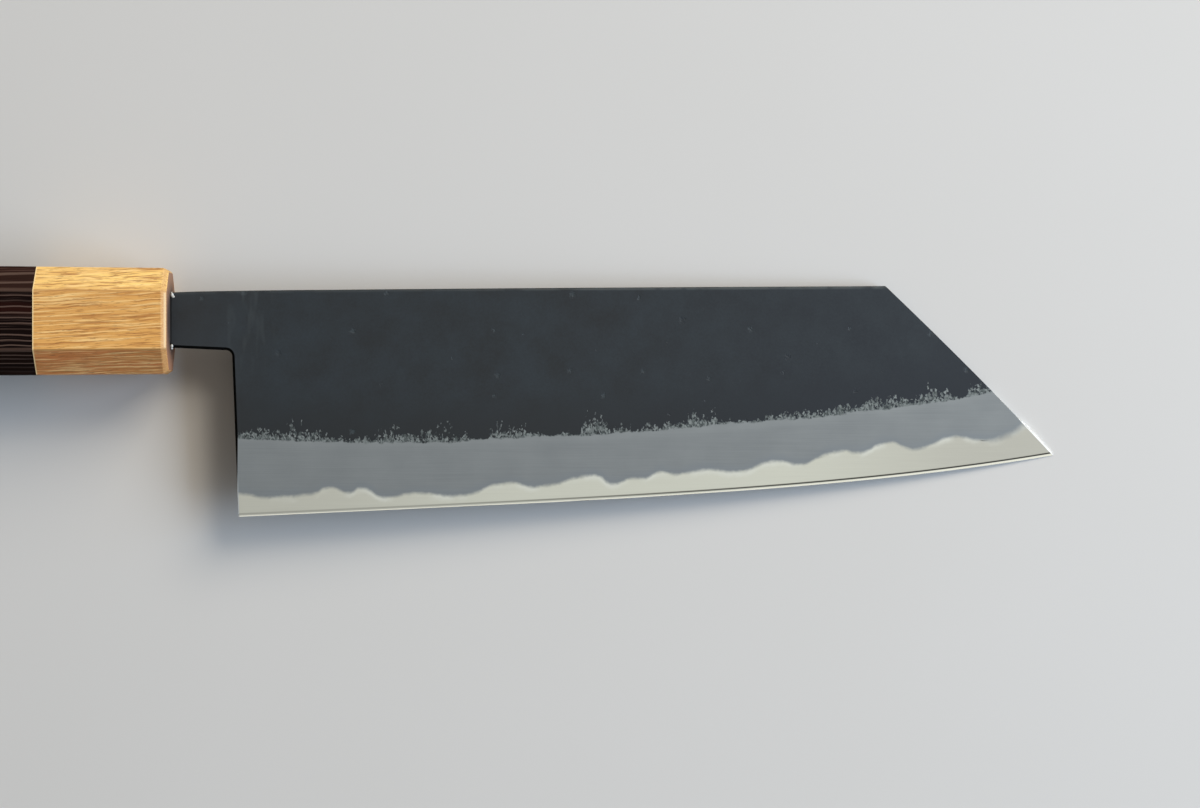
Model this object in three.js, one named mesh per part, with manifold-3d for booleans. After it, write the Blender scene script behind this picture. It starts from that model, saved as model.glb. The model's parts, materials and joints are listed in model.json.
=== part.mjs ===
// Bunka kitchen knife: a forge-welded three-layer blade with a clipped tip, on a hidden tang in an
// octagonal wooden handle. Millimetres, +Z up.
// The knife is drawn in its own frame: x towards the tip, y towards the spine, z out of the front face,
// origin on the handle's axis at the front face of the ferrule. At the end it is laid on a table.

import * as THREE from "three";
import { mergeVertices } from "three/addons/utils/BufferGeometryUtils.js";
import Module from "manifold-3d";

const wasm = await Module();
wasm.setup();

// Blade outline
const NECK_START = 0.3;
const NECK_TOP = 6.25;
const NECK_BOTTOM = -5.75;
const NECK_BOTTOM_AT_CHOIL = -6.25;
const CHOIL_X = 13.35;
const CHOIL_RADIUS = 1.6;
const HEEL = new THREE.Vector2(14.7, -42.75);
const EDGE_LENGTH = 180;
const EDGE_STRAIGHT_RISE = 7.75;
const EDGE_BELLY_RISE = 5.55;
const EDGE_BELLY_POWER = 4;
const SPINE_CORNER = new THREE.Vector2(156.9, 8.05);
const SPINE_CURVE_POWER = 0.6;
const CLIP_BULGE = 0.45;
const CLIP_OVERRUN = 3;

// Blade thickness
const SPINE_THICKNESS_AT_NECK = 3.6;
const SPINE_THICKNESS_AT_CORNER = 2;
const FLAT_TAPER = Math.tan(THREE.MathUtils.degToRad(0.9));
const SPINE_EASING = 0.35;
const RIDGE_AT_HEEL = -25.25;
const RIDGE_DIP = -7.5;
const RIDGE_RISE = 20;
const THICKNESS_BEHIND_EDGE = 0.24;
const EDGE_BEVEL_HEIGHT = 0.7;

// Weld line between the hard core and the soft cladding on the ground bevel of the front face: distance
// from the ferrule, then height above the edge, at each crest and hollow of the wave
const WELD_LINE = [
  [15, 5], [20, 4], [25, 4], [31.5, 4.4], [34.8, 5.5], [38.5, 4.3], [41.5, 5.1], [46.5, 2.8],
  [54, 3.4], [62.5, 2.4], [73.5, 4.7], [80, 3.6], [92.5, 5.4], [97, 3.2], [101, 4.3], [103.2, 4.05],
  [107, 5.3], [110.5, 4.5], [117.5, 5.2], [124, 4.2], [132.5, 5.9], [137.9, 4.8], [142, 5.75],
  [147.5, 6.95], [150.6, 6.15], [157.5, 7.75], [164, 5.55], [171.8, 7.3], [180.5, 5.5], [188, 7.7],
  [197, 9],
];
const BACK_WELD_SHIFT = 5;
const WELD_GAP = 0.02;

// Tang, drawn from inside the neck to its blunt end: distance, height, thickness
const TANG_STATIONS = [
  { x: 2, height: 10, thickness: 3 },
  { x: -84, height: 6, thickness: 2.2 },
  { x: -90, height: 4.5, thickness: 1.8 },
];
const TANG_CENTRE_Y = (NECK_TOP + NECK_BOTTOM) / 2;
const TANG_END = TANG_STATIONS[2].x;
const SLOT_CLEARANCE = 0.5;

// Handle
const HANDLE_LENGTH = 135;
const FRONT_HEIGHT = 23;
const BUTT_HEIGHT = 25.2;
const FRONT_WIDTH = 19;
const BUTT_WIDTH = 20.8;
const FACET_LEG = 5.3;
const FERRULE_LENGTH = 28.5;
const FRONT_CHAMFER_LENGTH = 1.1;
const FRONT_CHAMFER_DEPTH = 0.8;
const BUTT_CHAMFER = 1.2;
const DOWEL_RADIUS = 6.5;
const DOWEL_FRONT = -8.5;
const DOWEL_END = -100;
const FIT_GAP = 0.05;

// Fineness of the faceted curves
const STATION_STEP = 4;
const WELD_SEGMENTS = 4;
const CURVE_SEGMENTS = 10;
const ROUND_SEGMENTS = 32;

// Beyond the object on every side, for the solids that only cut
const CLEAR = 20;

const TIP = new THREE.Vector2(HEEL.x + EDGE_LENGTH, HEEL.y + EDGE_STRAIGHT_RISE + EDGE_BELLY_RISE);

// Solids for the joins and cuts
function toSolid(geometry) {
  const bare = geometry.clone();
  bare.deleteAttribute("normal");
  bare.deleteAttribute("uv");
  const merged = mergeVertices(bare);
  return new wasm.Manifold(
    new wasm.Mesh({
      numProp: 3,
      vertProperties: merged.attributes.position.array,
      triVerts: new Uint32Array(merged.index.array),
    }),
  );
}

function toGeometry(solid) {
  const mesh = solid.getMesh();
  const geometry = new THREE.BufferGeometry();
  geometry.setAttribute("position", new THREE.BufferAttribute(mesh.vertProperties, 3));
  geometry.setIndex(new THREE.BufferAttribute(mesh.triVerts, 1));
  const faceted = geometry.toNonIndexed();
  faceted.computeVertexNormals();
  return faceted;
}

// Closed solid through rings of equal corner count, which follow one another along +X
function loft(rings) {
  const corners = rings[0].length;
  const index = [];
  for (let ring = 0; ring + 1 < rings.length; ring++) {
    for (let corner = 0; corner < corners; corner++) {
      const here = ring * corners + corner;
      const next = ring * corners + ((corner + 1) % corners);
      index.push(here, next, next + corners);
      index.push(here, next + corners, here + corners);
    }
  }
  const last = (rings.length - 1) * corners;
  for (let corner = 1; corner + 1 < corners; corner++) {
    index.push(0, corner + 1, corner);
    index.push(last, last + corner, last + corner + 1);
  }
  const positions = rings.flat().flatMap((point) => point.toArray());
  const geometry = new THREE.BufferGeometry();
  geometry.setAttribute("position", new THREE.Float32BufferAttribute(positions, 3));
  geometry.setIndex(index);
  return toSolid(geometry);
}

function rectangleRing(x, height, thickness, centreY) {
  const y = height / 2;
  const z = thickness / 2;
  const corners = [[y, -z], [y, z], [-y, z], [-y, -z]];
  return corners.map(([cy, cz]) => new THREE.Vector3(x, centreY + cy, cz));
}

function rod(radius, fromX, toX) {
  const cylinder = new THREE.CylinderGeometry(radius, radius, Math.abs(toX - fromX), ROUND_SEGMENTS);
  cylinder.rotateZ(Math.PI / 2);
  cylinder.translate((fromX + toX) / 2, 0, 0);
  return toSolid(cylinder);
}

// Lines of the blade, each as a height at distance x from the ferrule
function spineY(x) {
  return NECK_TOP + (SPINE_CORNER.y - NECK_TOP) * (x / SPINE_CORNER.x) ** SPINE_CURVE_POWER;
}

function edgeY(x) {
  const along = (x - HEEL.x) / EDGE_LENGTH;
  return HEEL.y + EDGE_STRAIGHT_RISE * along + EDGE_BELLY_RISE * along ** EDGE_BELLY_POWER;
}

function ridgeY(x) {
  const along = (x - HEEL.x) / EDGE_LENGTH;
  return RIDGE_AT_HEEL + RIDGE_DIP * along + RIDGE_RISE * along ** 2;
}

// Half the thickness over the blackened flats, which are true planes
function flatHalf(x, y) {
  const drop = SPINE_THICKNESS_AT_NECK - SPINE_THICKNESS_AT_CORNER;
  const cornerRise = FLAT_TAPER * (SPINE_CORNER.y - NECK_TOP);
  const lengthTaper = (drop / 2 + cornerRise) / SPINE_CORNER.x;
  return SPINE_THICKNESS_AT_NECK / 2 - lengthTaper * x + FLAT_TAPER * (y - NECK_TOP);
}

// Half the thickness on the ground bevel, at a height above the edge
function bevelHalf(x, heightAboveEdge) {
  const behindEdge = THICKNESS_BEHIND_EDGE / 2;
  const ridge = ridgeY(x);
  const share = (heightAboveEdge - EDGE_BEVEL_HEIGHT) / (ridge - edgeY(x) - EDGE_BEVEL_HEIGHT);
  return behindEdge + (flatHalf(x, ridge) - behindEdge) * share;
}

// Cross-section: edge, edge bevel, ground bevel, blackened flat and eased spine, on both faces
function bladeRing(x) {
  const top = spineY(x);
  const face = [
    [edgeY(x) + EDGE_BEVEL_HEIGHT, THICKNESS_BEHIND_EDGE / 2],
    [ridgeY(x), flatHalf(x, ridgeY(x))],
    [top - SPINE_EASING, flatHalf(x, top - SPINE_EASING)],
    [top, flatHalf(x, top) - SPINE_EASING],
  ];
  const back = face.map(([y, half]) => new THREE.Vector3(x, y, -half));
  const front = face.map(([y, half]) => new THREE.Vector3(x, y, half)).reverse();
  return [new THREE.Vector3(x, edgeY(x), 0), ...back, ...front];
}

function bladeBlank() {
  const steps = Math.ceil((TIP.x - NECK_START) / STATION_STEP) + 1;
  const rings = [];
  for (let step = 0; step <= steps; step++) {
    rings.push(bladeRing(NECK_START + step * STATION_STEP));
  }
  return loft(rings);
}

// Side view that trims the blank: clipped tip, heel, rounded choil and neck
function bladeOutline() {
  const clip = TIP.clone().sub(SPINE_CORNER).normalize();
  const clipStart = SPINE_CORNER.clone().addScaledVector(clip, -CLIP_OVERRUN);
  const clipEnd = TIP.clone().addScaledVector(clip, CLIP_OVERRUN);
  const outward = new THREE.Vector2(-clip.y, clip.x);
  const clipBend = clipStart.clone().add(clipEnd).divideScalar(2).addScaledVector(outward, 2 * CLIP_BULGE);
  const heelLean = (HEEL.x - CHOIL_X) / (NECK_BOTTOM_AT_CHOIL - HEEL.y);
  const below = HEEL.y - CLEAR;

  const shape = new THREE.Shape();
  shape.moveTo(NECK_START - CLEAR, NECK_BOTTOM);
  shape.lineTo(NECK_START - CLEAR, SPINE_CORNER.y + CLEAR);
  shape.lineTo(clipStart.x, SPINE_CORNER.y + CLEAR);
  shape.lineTo(clipStart.x, clipStart.y);
  shape.quadraticCurveTo(clipBend.x, clipBend.y, clipEnd.x, clipEnd.y);
  shape.lineTo(clipEnd.x, below);
  shape.lineTo(HEEL.x + heelLean * CLEAR, below);
  shape.lineTo(CHOIL_X + heelLean * CHOIL_RADIUS, NECK_BOTTOM_AT_CHOIL - CHOIL_RADIUS);
  shape.quadraticCurveTo(CHOIL_X, NECK_BOTTOM_AT_CHOIL, CHOIL_X - CHOIL_RADIUS, NECK_BOTTOM_AT_CHOIL);
  shape.lineTo(NECK_START, NECK_BOTTOM);
  shape.closePath();
  const plate = new THREE.ExtrudeGeometry(shape, {
    depth: 2 * CLEAR,
    bevelEnabled: false,
    curveSegments: CURVE_SEGMENTS,
  });
  plate.translate(0, 0, -CLEAR);
  return toSolid(plate);
}

// The tang's own bar, or the bar grown by a margin all round for what it fits into
function tangBar(margin = 0) {
  const rings = TANG_STATIONS.map(({ x, height, thickness }) => {
    const end = x === TANG_END ? x - margin : x;
    return rectangleRing(end, height + 2 * margin, thickness + 2 * margin, TANG_CENTRE_Y);
  });
  return loft(rings.reverse());
}

function bladeWithTang() {
  return bladeBlank().intersect(bladeOutline()).add(tangBar());
}

// Weld surfaces: the ground bevel lays a level surface bare at the height where their thicknesses meet
function weldPoints(shift, offset) {
  return WELD_LINE.map(([x], place) => {
    const height = WELD_LINE[(place + shift) % WELD_LINE.length][1];
    return new THREE.Vector2(x, bevelHalf(x, height) + offset);
  });
}

function layerBetween(lower, upper) {
  const shape = new THREE.Shape();
  const behind = TANG_END - CLEAR;
  shape.moveTo(behind, lower[0].y);
  shape.lineTo(lower[0].x, lower[0].y);
  shape.splineThru(lower.slice(1));
  shape.lineTo(upper.at(-1).x, upper.at(-1).y);
  shape.splineThru(upper.slice(0, -1).reverse());
  shape.lineTo(behind, upper[0].y);
  shape.closePath();
  const layer = new THREE.ExtrudeGeometry(shape, {
    depth: 2 * CLEAR + SPINE_CORNER.y - HEEL.y,
    bevelEnabled: false,
    curveSegments: WELD_SEGMENTS,
  });
  layer.rotateX(Math.PI / 2);
  layer.translate(0, SPINE_CORNER.y + CLEAR, 0);
  return toSolid(layer);
}

function bladeLayers() {
  const blade = bladeWithTang();
  const mirrored = (points) => points.map(({ x, y }) => new THREE.Vector2(x, -y));
  const level = (points, z) => [new THREE.Vector2(points[0].x, z), new THREE.Vector2(points.at(-1).x, z)];
  const front = weldPoints(0, 0);
  const back = mirrored(weldPoints(BACK_WELD_SHIFT, 0));
  const frontInner = weldPoints(0, WELD_GAP);
  const backInner = mirrored(weldPoints(BACK_WELD_SHIFT, WELD_GAP));
  return {
    core: blade.intersect(layerBetween(back, front)),
    front: blade.intersect(layerBetween(frontInner, level(frontInner, CLEAR))),
    back: blade.intersect(layerBetween(level(backInner, -CLEAR), backInner)),
  };
}

// Octagon of the handle at distance x, drawn in by an inset at the chamfered ends
function handleRing(x, inset = 0) {
  const along = -x / HANDLE_LENGTH;
  const y = THREE.MathUtils.lerp(FRONT_HEIGHT, BUTT_HEIGHT, along) / 2 - inset;
  const z = THREE.MathUtils.lerp(FRONT_WIDTH, BUTT_WIDTH, along) / 2 - inset;
  const yFlat = y - FACET_LEG + inset / 2;
  const zFlat = z - FACET_LEG + inset / 2;
  const corners = [
    [y, -zFlat], [y, zFlat], [yFlat, z], [-yFlat, z],
    [-y, zFlat], [-y, -zFlat], [-yFlat, -z], [yFlat, -z],
  ];
  return corners.map(([cy, cz]) => new THREE.Vector3(x, cy, cz));
}

function ferrule() {
  const block = loft([
    handleRing(-FERRULE_LENGTH),
    handleRing(-FRONT_CHAMFER_LENGTH),
    handleRing(0, FRONT_CHAMFER_DEPTH),
  ]);
  const socket = rod(DOWEL_RADIUS + FIT_GAP, -FERRULE_LENGTH - CLEAR, DOWEL_FRONT);
  return block.subtract(socket).subtract(tangBar(SLOT_CLEARANCE));
}

function handleBody() {
  const block = loft([
    handleRing(-HANDLE_LENGTH, BUTT_CHAMFER),
    handleRing(-HANDLE_LENGTH + BUTT_CHAMFER),
    handleRing(-FERRULE_LENGTH - FIT_GAP),
  ]);
  const socket = rod(DOWEL_RADIUS + FIT_GAP, DOWEL_END - FIT_GAP, -FERRULE_LENGTH + CLEAR);
  return block.subtract(socket);
}

// Round dowel that joins ferrule and body, slotted for the tang
function dowel() {
  return rod(DOWEL_RADIUS, DOWEL_END, DOWEL_FRONT - FIT_GAP).subtract(tangBar(SLOT_CLEARANCE));
}

// Adhesive that beds the tang in its slot and fills the joint at the neck's shoulder
function adhesive() {
  const sleeve = tangBar(SLOT_CLEARANCE - FIT_GAP);
  const joint = NECK_START - FIT_GAP;
  const height = NECK_TOP - NECK_BOTTOM - 2 * SPINE_EASING;
  const bead = loft([
    rectangleRing(FIT_GAP, height, SPINE_THICKNESS_AT_NECK - 2 * SPINE_EASING, TANG_CENTRE_Y),
    rectangleRing(joint, height, SPINE_THICKNESS_AT_NECK - 2 * SPINE_EASING, TANG_CENTRE_Y),
  ]);
  const behindShoulder = loft([
    rectangleRing(TANG_END - CLEAR, CLEAR, CLEAR, TANG_CENTRE_Y),
    rectangleRing(joint, CLEAR, CLEAR, TANG_CENTRE_Y),
  ]);
  return sleeve.intersect(behindShoulder).add(bead).subtract(tangBar(FIT_GAP));
}

// Materials
function steel(colour, roughness) {
  return new THREE.MeshStandardMaterial({ color: colour, roughness, metalness: 1 });
}

function matt(colour, roughness) {
  return new THREE.MeshStandardMaterial({ color: colour, roughness, metalness: 0 });
}

function piece(name, solid, material) {
  const mesh = new THREE.Mesh(toGeometry(solid), material);
  mesh.name = name;
  return mesh;
}

function buildKnife() {
  const layers = bladeLayers();
  const knife = new THREE.Group();
  knife.add(piece("core_steel", layers.core, steel("#c0bfb6", 0.35)));
  knife.add(piece("front_cladding", layers.front, steel("#3a4045", 0.6)));
  knife.add(piece("back_cladding", layers.back, steel("#3a4045", 0.6)));
  knife.add(piece("ferrule", ferrule(), matt("#d2a060", 0.55)));
  knife.add(piece("handle_body", handleBody(), matt("#281b18", 0.5)));
  knife.add(piece("handle_dowel", dowel(), matt("#c9a878", 0.7)));
  knife.add(piece("tang_adhesive", adhesive(), matt("#e4ddca", 0.4)));
  return knife;
}

// Nose-down angle at which the blade comes to rest while the ferrule's lower front edge lies on the table
function restPitch(knife) {
  const contactX = -FRONT_CHAMFER_LENGTH;
  const contactZ = -THREE.MathUtils.lerp(FRONT_WIDTH, BUTT_WIDTH, FRONT_CHAMFER_LENGTH / HANDLE_LENGTH) / 2;
  const corners = knife.getObjectByName("core_steel").geometry.getAttribute("position");
  let pitch = Math.PI / 2;
  for (let i = 0; i < corners.count; i++) {
    if (corners.getX(i) > CHOIL_X) {
      pitch = Math.min(pitch, Math.atan2(corners.getZ(i) - contactZ, corners.getX(i) - contactX));
    }
  }
  return pitch;
}

// Lays the knife on z = 0 with the middle of its box over the origin
function layOnTable(knife) {
  knife.rotation.y = restPitch(knife);
  const box = new THREE.Box3().setFromObject(knife, true);
  const middle = box.getCenter(new THREE.Vector3());
  knife.position.set(-middle.x, -middle.y, -box.min.z);
  const part = new THREE.Group();
  part.name = "bunka_knife";
  part.add(knife);
  return part;
}

export default layOnTable(buildKnife());
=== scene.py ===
"""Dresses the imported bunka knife: eased edges, forge-black and ground steel, grained woods, soft daylight.

The knife is described in its own frame, in millimetres: x towards the tip, y towards the spine, z out of the
front face, with the origin on the handle's axis at the front face of the ferrule.
"""

import json
import logging
import math
from collections.abc import Callable
from dataclasses import dataclass
from enum import Enum
from typing import Any, NamedTuple, Protocol

import bmesh
import bpy
from mathutils import Matrix, Vector


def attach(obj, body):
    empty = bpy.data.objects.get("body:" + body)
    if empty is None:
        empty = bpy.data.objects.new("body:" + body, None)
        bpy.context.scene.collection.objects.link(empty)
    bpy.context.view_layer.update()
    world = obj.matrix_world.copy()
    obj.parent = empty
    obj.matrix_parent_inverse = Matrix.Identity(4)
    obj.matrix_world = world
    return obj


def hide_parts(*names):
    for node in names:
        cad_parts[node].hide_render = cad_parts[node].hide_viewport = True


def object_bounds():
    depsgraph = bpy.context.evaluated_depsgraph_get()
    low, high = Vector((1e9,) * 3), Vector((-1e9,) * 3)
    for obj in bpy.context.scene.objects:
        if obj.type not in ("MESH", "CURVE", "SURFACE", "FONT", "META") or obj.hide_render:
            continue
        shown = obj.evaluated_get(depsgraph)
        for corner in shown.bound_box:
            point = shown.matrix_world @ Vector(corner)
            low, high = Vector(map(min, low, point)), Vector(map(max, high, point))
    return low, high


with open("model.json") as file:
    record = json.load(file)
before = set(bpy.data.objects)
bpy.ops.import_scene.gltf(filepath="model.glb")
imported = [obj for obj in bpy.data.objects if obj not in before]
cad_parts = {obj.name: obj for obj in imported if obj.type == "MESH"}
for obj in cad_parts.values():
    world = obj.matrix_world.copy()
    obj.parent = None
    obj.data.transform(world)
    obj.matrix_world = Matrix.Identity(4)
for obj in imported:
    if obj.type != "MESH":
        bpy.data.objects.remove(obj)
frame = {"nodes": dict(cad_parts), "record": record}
CAD_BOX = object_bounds()

MM = 0.001
BODY = "root"

Socket = bpy.types.NodeSocket
EdgeRule = Callable[[bmesh.types.BMEdge], bool]

log = logging.getLogger("bunka_knife")


class CadNode(str, Enum):
    """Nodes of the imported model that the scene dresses."""

    CORE = "core_steel"
    FRONT_CLADDING = "front_cladding"
    BACK_CLADDING = "back_cladding"
    FERRULE = "ferrule"
    HANDLE_BODY = "handle_body"
    DOWEL = "handle_dowel"
    ADHESIVE = "tang_adhesive"


class Slot(str, Enum):
    """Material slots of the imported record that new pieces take."""

    CORE = "core_steel"
    CLADDING = "cladding_iron"
    FERRULE = "ferrule_wood"
    HANDLE = "handle_wood"
    ADHESIVE = "adhesive"


class BladeFace(Enum):
    """Side of the blade, as the sign of the knife's z on it."""

    FRONT = 1
    BACK = -1


class GrainPattern(Enum):
    """How the lines of a wood's grain follow one another."""

    SCATTERED = "scattered"
    EVENLY_SPACED = "evenly_spaced"


class Spread(Enum):
    """How a colour spreads over a face that is cut across the grain."""

    ACROSS = "across"
    ROUND = "round"


class Node(Enum):
    """Kinds of shader node, as type and settings.

    RAMP and LINEAR take a value, the two levels that it runs between and what they give at each.
    """

    ADD = ("Math", {"operation": "ADD"})
    SUBTRACT = ("Math", {"operation": "SUBTRACT"})
    SUBTRACT_CLAMPED = ("Math", {"operation": "SUBTRACT", "use_clamp": True})
    MULTIPLY = ("Math", {"operation": "MULTIPLY"})
    MULTIPLY_ADD = ("Math", {"operation": "MULTIPLY_ADD"})
    DIVIDE = ("Math", {"operation": "DIVIDE"})
    DIVIDE_CLAMPED = ("Math", {"operation": "DIVIDE", "use_clamp": True})
    POWER = ("Math", {"operation": "POWER"})
    ABSOLUTE = ("Math", {"operation": "ABSOLUTE"})
    MAXIMUM = ("Math", {"operation": "MAXIMUM"})
    GREATER_THAN = ("Math", {"operation": "GREATER_THAN"})
    VECTOR_ADD = ("VectorMath", {"operation": "ADD"})
    VECTOR_SUBTRACT = ("VectorMath", {"operation": "SUBTRACT"})
    VECTOR_MULTIPLY = ("VectorMath", {"operation": "MULTIPLY"})
    VECTOR_MULTIPLY_ADD = ("VectorMath", {"operation": "MULTIPLY_ADD"})
    VECTOR_DOT = ("VectorMath", {"operation": "DOT_PRODUCT"})
    VECTOR_LENGTH = ("VectorMath", {"operation": "LENGTH"})
    VECTOR_PROJECT = ("VectorMath", {"operation": "PROJECT"})
    RAMP = ("MapRange", {"interpolation_type": "SMOOTHSTEP"})
    LINEAR = ("MapRange", {})
    MIX_COLOUR = ("Mix", {"data_type": "RGBA"})
    MIX_VALUE = ("Mix", {})
    COORDINATES = ("TexCoord", {})
    STRETCH = ("Mapping", {"vector_type": "TEXTURE"})
    SPLIT_XYZ = ("SeparateXYZ", {})
    SPLIT_COLOUR = ("SeparateColor", {})
    CURVE = ("FloatCurve", {})
    NOISE = ("TexNoise", {})
    DRIFT = ("TexNoise", {"normalize": False})
    CELLS = ("TexVoronoi", {"voronoi_dimensions": "2D"})
    BANDS = ("TexWave", {"wave_type": "BANDS", "bands_direction": "Y", "wave_profile": "SIN"})
    BUMP = ("Bump", {})
    PRINCIPLED = ("BsdfPrincipled", {})
    MATERIAL_OUTPUT = ("OutputMaterial", {})
    LIGHT_PATH = ("LightPath", {})
    BACKGROUND = ("Background", {})
    MIX_SHADER = ("MixShader", {})
    WORLD_OUTPUT = ("OutputWorld", {})


class Ramp(NamedTuple):
    """Two levels of a pattern or a distance, and the share or size that goes with each.

    Attributes:
        start: Level at which the change starts.
        end: Level at which it is over, which may be the lower one.
        low: What goes with the start.
        high: What goes with the end.
    """

    start: float
    end: float
    low: float = 0.0
    high: float = 1.0


class Bumps(NamedTuple):
    """Unevenness that moves a line up and down.

    Attributes:
        size_mm: Size of the bumps along the line.
        height_mm: How far they can move it in all.
        detail: How many layers of finer bumps lie on them.
    """

    size_mm: float
    height_mm: float
    detail: float = 2.0


def to_linear(hex_colour: str) -> tuple[float, float, float, float]:
    """Turns an sRGB colour into the linear colour that shaders take.

    Args:
        hex_colour: Colour such as "#C3C5BB".

    Returns:
        Linear red, green and blue, with an alpha of 1.
    """
    channels = [int(hex_colour[place:place + 2], 16) / 255 for place in (1, 3, 5)]
    linear = [c / 12.92 if c <= 0.04045 else ((c + 0.055) / 1.055) ** 2.4 for c in channels]
    return (*linear, 1.0)


@dataclass(frozen=True)
class KnifeFrame:
    """Where the knife's own frame lies in the row frame.

    Attributes:
        origin: The knife's origin, in metres.
        pitch: Turn about +Y that lays the knife on the table, in radians.
    """

    origin: Vector
    pitch: float

    @classmethod
    def from_record(cls, record: dict[str, Any]) -> "KnifeFrame":
        """Finds the frame from the two blade mounts, which face away from each other across the blade.

        Args:
            record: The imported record.

        Returns:
            The knife's frame.
        """
        # Where both mounts lie on the blade, in the knife's own frame
        mount_x, mount_y = 80 * MM, -8 * MM
        mounts = {mount["name"]: mount for mount in record["mounts"]}
        front, back = mounts["blade_front_flat"], mounts["blade_back_flat"]
        out_of_face = Vector(front["axis"]) - Vector(back["axis"])
        pitch = math.atan2(out_of_face.x, out_of_face.z)
        between = (Vector(front["pos_m"]) + Vector(back["pos_m"])) / 2
        mount = Matrix.Rotation(pitch, 3, "Y") @ Vector((mount_x, mount_y, 0))
        return cls(between - mount, pitch)

    def to_row(self) -> Matrix:
        """Gives the matrix from knife millimetres to row metres."""
        return Matrix.Translation(self.origin) @ Matrix.Rotation(self.pitch, 4, "Y") @ Matrix.Scale(MM, 4)

    def to_knife(self) -> Matrix:
        """Gives the matrix from row metres to knife millimetres."""
        return self.to_row().inverted()

    def direction(self, row_direction: Vector) -> Vector:
        """Gives a row direction in the knife's axes."""
        return Matrix.Rotation(-self.pitch, 3, "Y") @ row_direction


@dataclass(frozen=True)
class BladeLines:
    """Lines that the smith and the grinder left on the blade, in knife millimetres.

    Attributes:
        choil: Corner between neck and heel.
        heel: Corner where the edge starts.
        edge_length: Length of the edge along x.
        edge_rise: Straight rise of the edge from heel to tip.
        belly_rise: Further rise of the curved belly at the tip.
        belly_power: How late the belly starts.
        neck_top: Height of the spine at the ferrule.
        spine_corner: Corner where the clipped tip leaves the spine.
        spine_power: How early the spine rises to that corner.
        clip_bulge: How far the clip stands out of the straight line from the spine's corner to the tip.
        ridge_start: Height of the grinding ridge at the heel.
        ridge_dip: Straight fall of the ridge.
        ridge_lift: Curved rise of the ridge towards the tip.
        weld_line: Crests and hollows of the weld between core and cladding, as x and height above the edge.
        back_weld_shift: How many places the wave is moved along on the back face.
    """

    choil: tuple[float, float] = (13.35, -6.25)
    heel: tuple[float, float] = (14.7, -42.75)
    edge_length: float = 180
    edge_rise: float = 7.75
    belly_rise: float = 5.55
    belly_power: float = 4
    neck_top: float = 6.25
    spine_corner: tuple[float, float] = (156.9, 8.05)
    spine_power: float = 0.6
    clip_bulge: float = 0.45
    ridge_start: float = -25.25
    ridge_dip: float = -7.5
    ridge_lift: float = 20
    weld_line: tuple[tuple[float, float], ...] = (
        (15, 5), (20, 4), (25, 4), (31.5, 4.4), (34.8, 5.5), (38.5, 4.3), (41.5, 5.1), (46.5, 2.8),
        (54, 3.4), (62.5, 2.4), (73.5, 4.7), (80, 3.6), (92.5, 5.4), (97, 3.2), (101, 4.3), (103.2, 4.05),
        (107, 5.3), (110.5, 4.5), (117.5, 5.2), (124, 4.2), (132.5, 5.9), (137.9, 4.8), (142, 5.75),
        (147.5, 6.95), (150.6, 6.15), (157.5, 7.75), (164, 5.55), (171.8, 7.3), (180.5, 5.5), (188, 7.7),
        (197, 9),
    )
    back_weld_shift: int = 5

    @property
    def tip(self) -> tuple[float, float]:
        """Point of the blade."""
        return self.heel[0] + self.edge_length, self.heel[1] + self.edge_rise + self.belly_rise

    def weld_points(self, face: BladeFace) -> list[tuple[float, float]]:
        """Gives the weld line's points on one face.

        Args:
            face: The face of the blade.

        Returns:
            Pairs of x and height above the edge.
        """
        shift = self.back_weld_shift if face is BladeFace.BACK else 0
        heights = [height for _, height in self.weld_line]
        moved = heights[shift:] + heights[:shift]
        return [(x, height) for (x, _), height in zip(self.weld_line, moved)]


class NodeSheet:
    """A node tree and the one way in which nodes are added to it."""

    def __init__(self, tree: bpy.types.NodeTree) -> None:
        """Takes over a tree and empties it.

        Args:
            tree: Node tree of a material or a world.
        """
        self.tree = tree
        self.tree.nodes.clear()

    def add(self, node_kind: Node, *values: Any, take: str = "", **named: Any) -> Socket:
        """Adds a node with its settings and links.

        Args:
            node_kind: Kind of node.
            values: For its inputs in use, in order, a socket to link from, a hex colour or a value.
            take: Name of the output that is handed back, or nothing for the first one in use.
            named: What inputs get by name, in small letters and with _ for a space.

        Returns:
            The chosen output socket, or the first input of a node that has no outputs.
        """
        node_type, settings = node_kind.value
        node = self.tree.nodes.new("ShaderNode" + node_type)
        for name, value in settings.items():
            setattr(node, name, value)
        inputs = [socket for socket in node.inputs if socket.enabled]
        outputs = [socket for socket in node.outputs if socket.enabled]
        by_name = {socket.name.lower().replace(" ", "_"): socket for socket in inputs}
        filled = [*zip(inputs, values), *((by_name[name], value) for name, value in named.items())]
        for socket, value in filled:
            if isinstance(value, Socket):
                self.tree.links.new(value, socket)
            else:
                socket.default_value = to_linear(value) if isinstance(value, str) else value
        return node.outputs[take] if take else (outputs or inputs)[0]


@dataclass(frozen=True)
class Surface:
    """Sockets of a finish as it is built up, layer over layer.

    Attributes:
        colour: Base colour.
        metallic: 1 on bare metal and 0 elsewhere.
        roughness: Roughness.
        relief: Height of the fine relief, in shares of its depth.
    """

    colour: Socket
    metallic: Socket | float
    roughness: Socket
    relief: Socket


def new_material(name: str) -> tuple[bpy.types.Material, NodeSheet]:
    """Makes an empty node material.

    Args:
        name: Name of the finish.

    Returns:
        The material and the sheet for its nodes.
    """
    material = bpy.data.materials.new(name)
    material.use_nodes = True
    return material, NodeSheet(material.node_tree)


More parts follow.
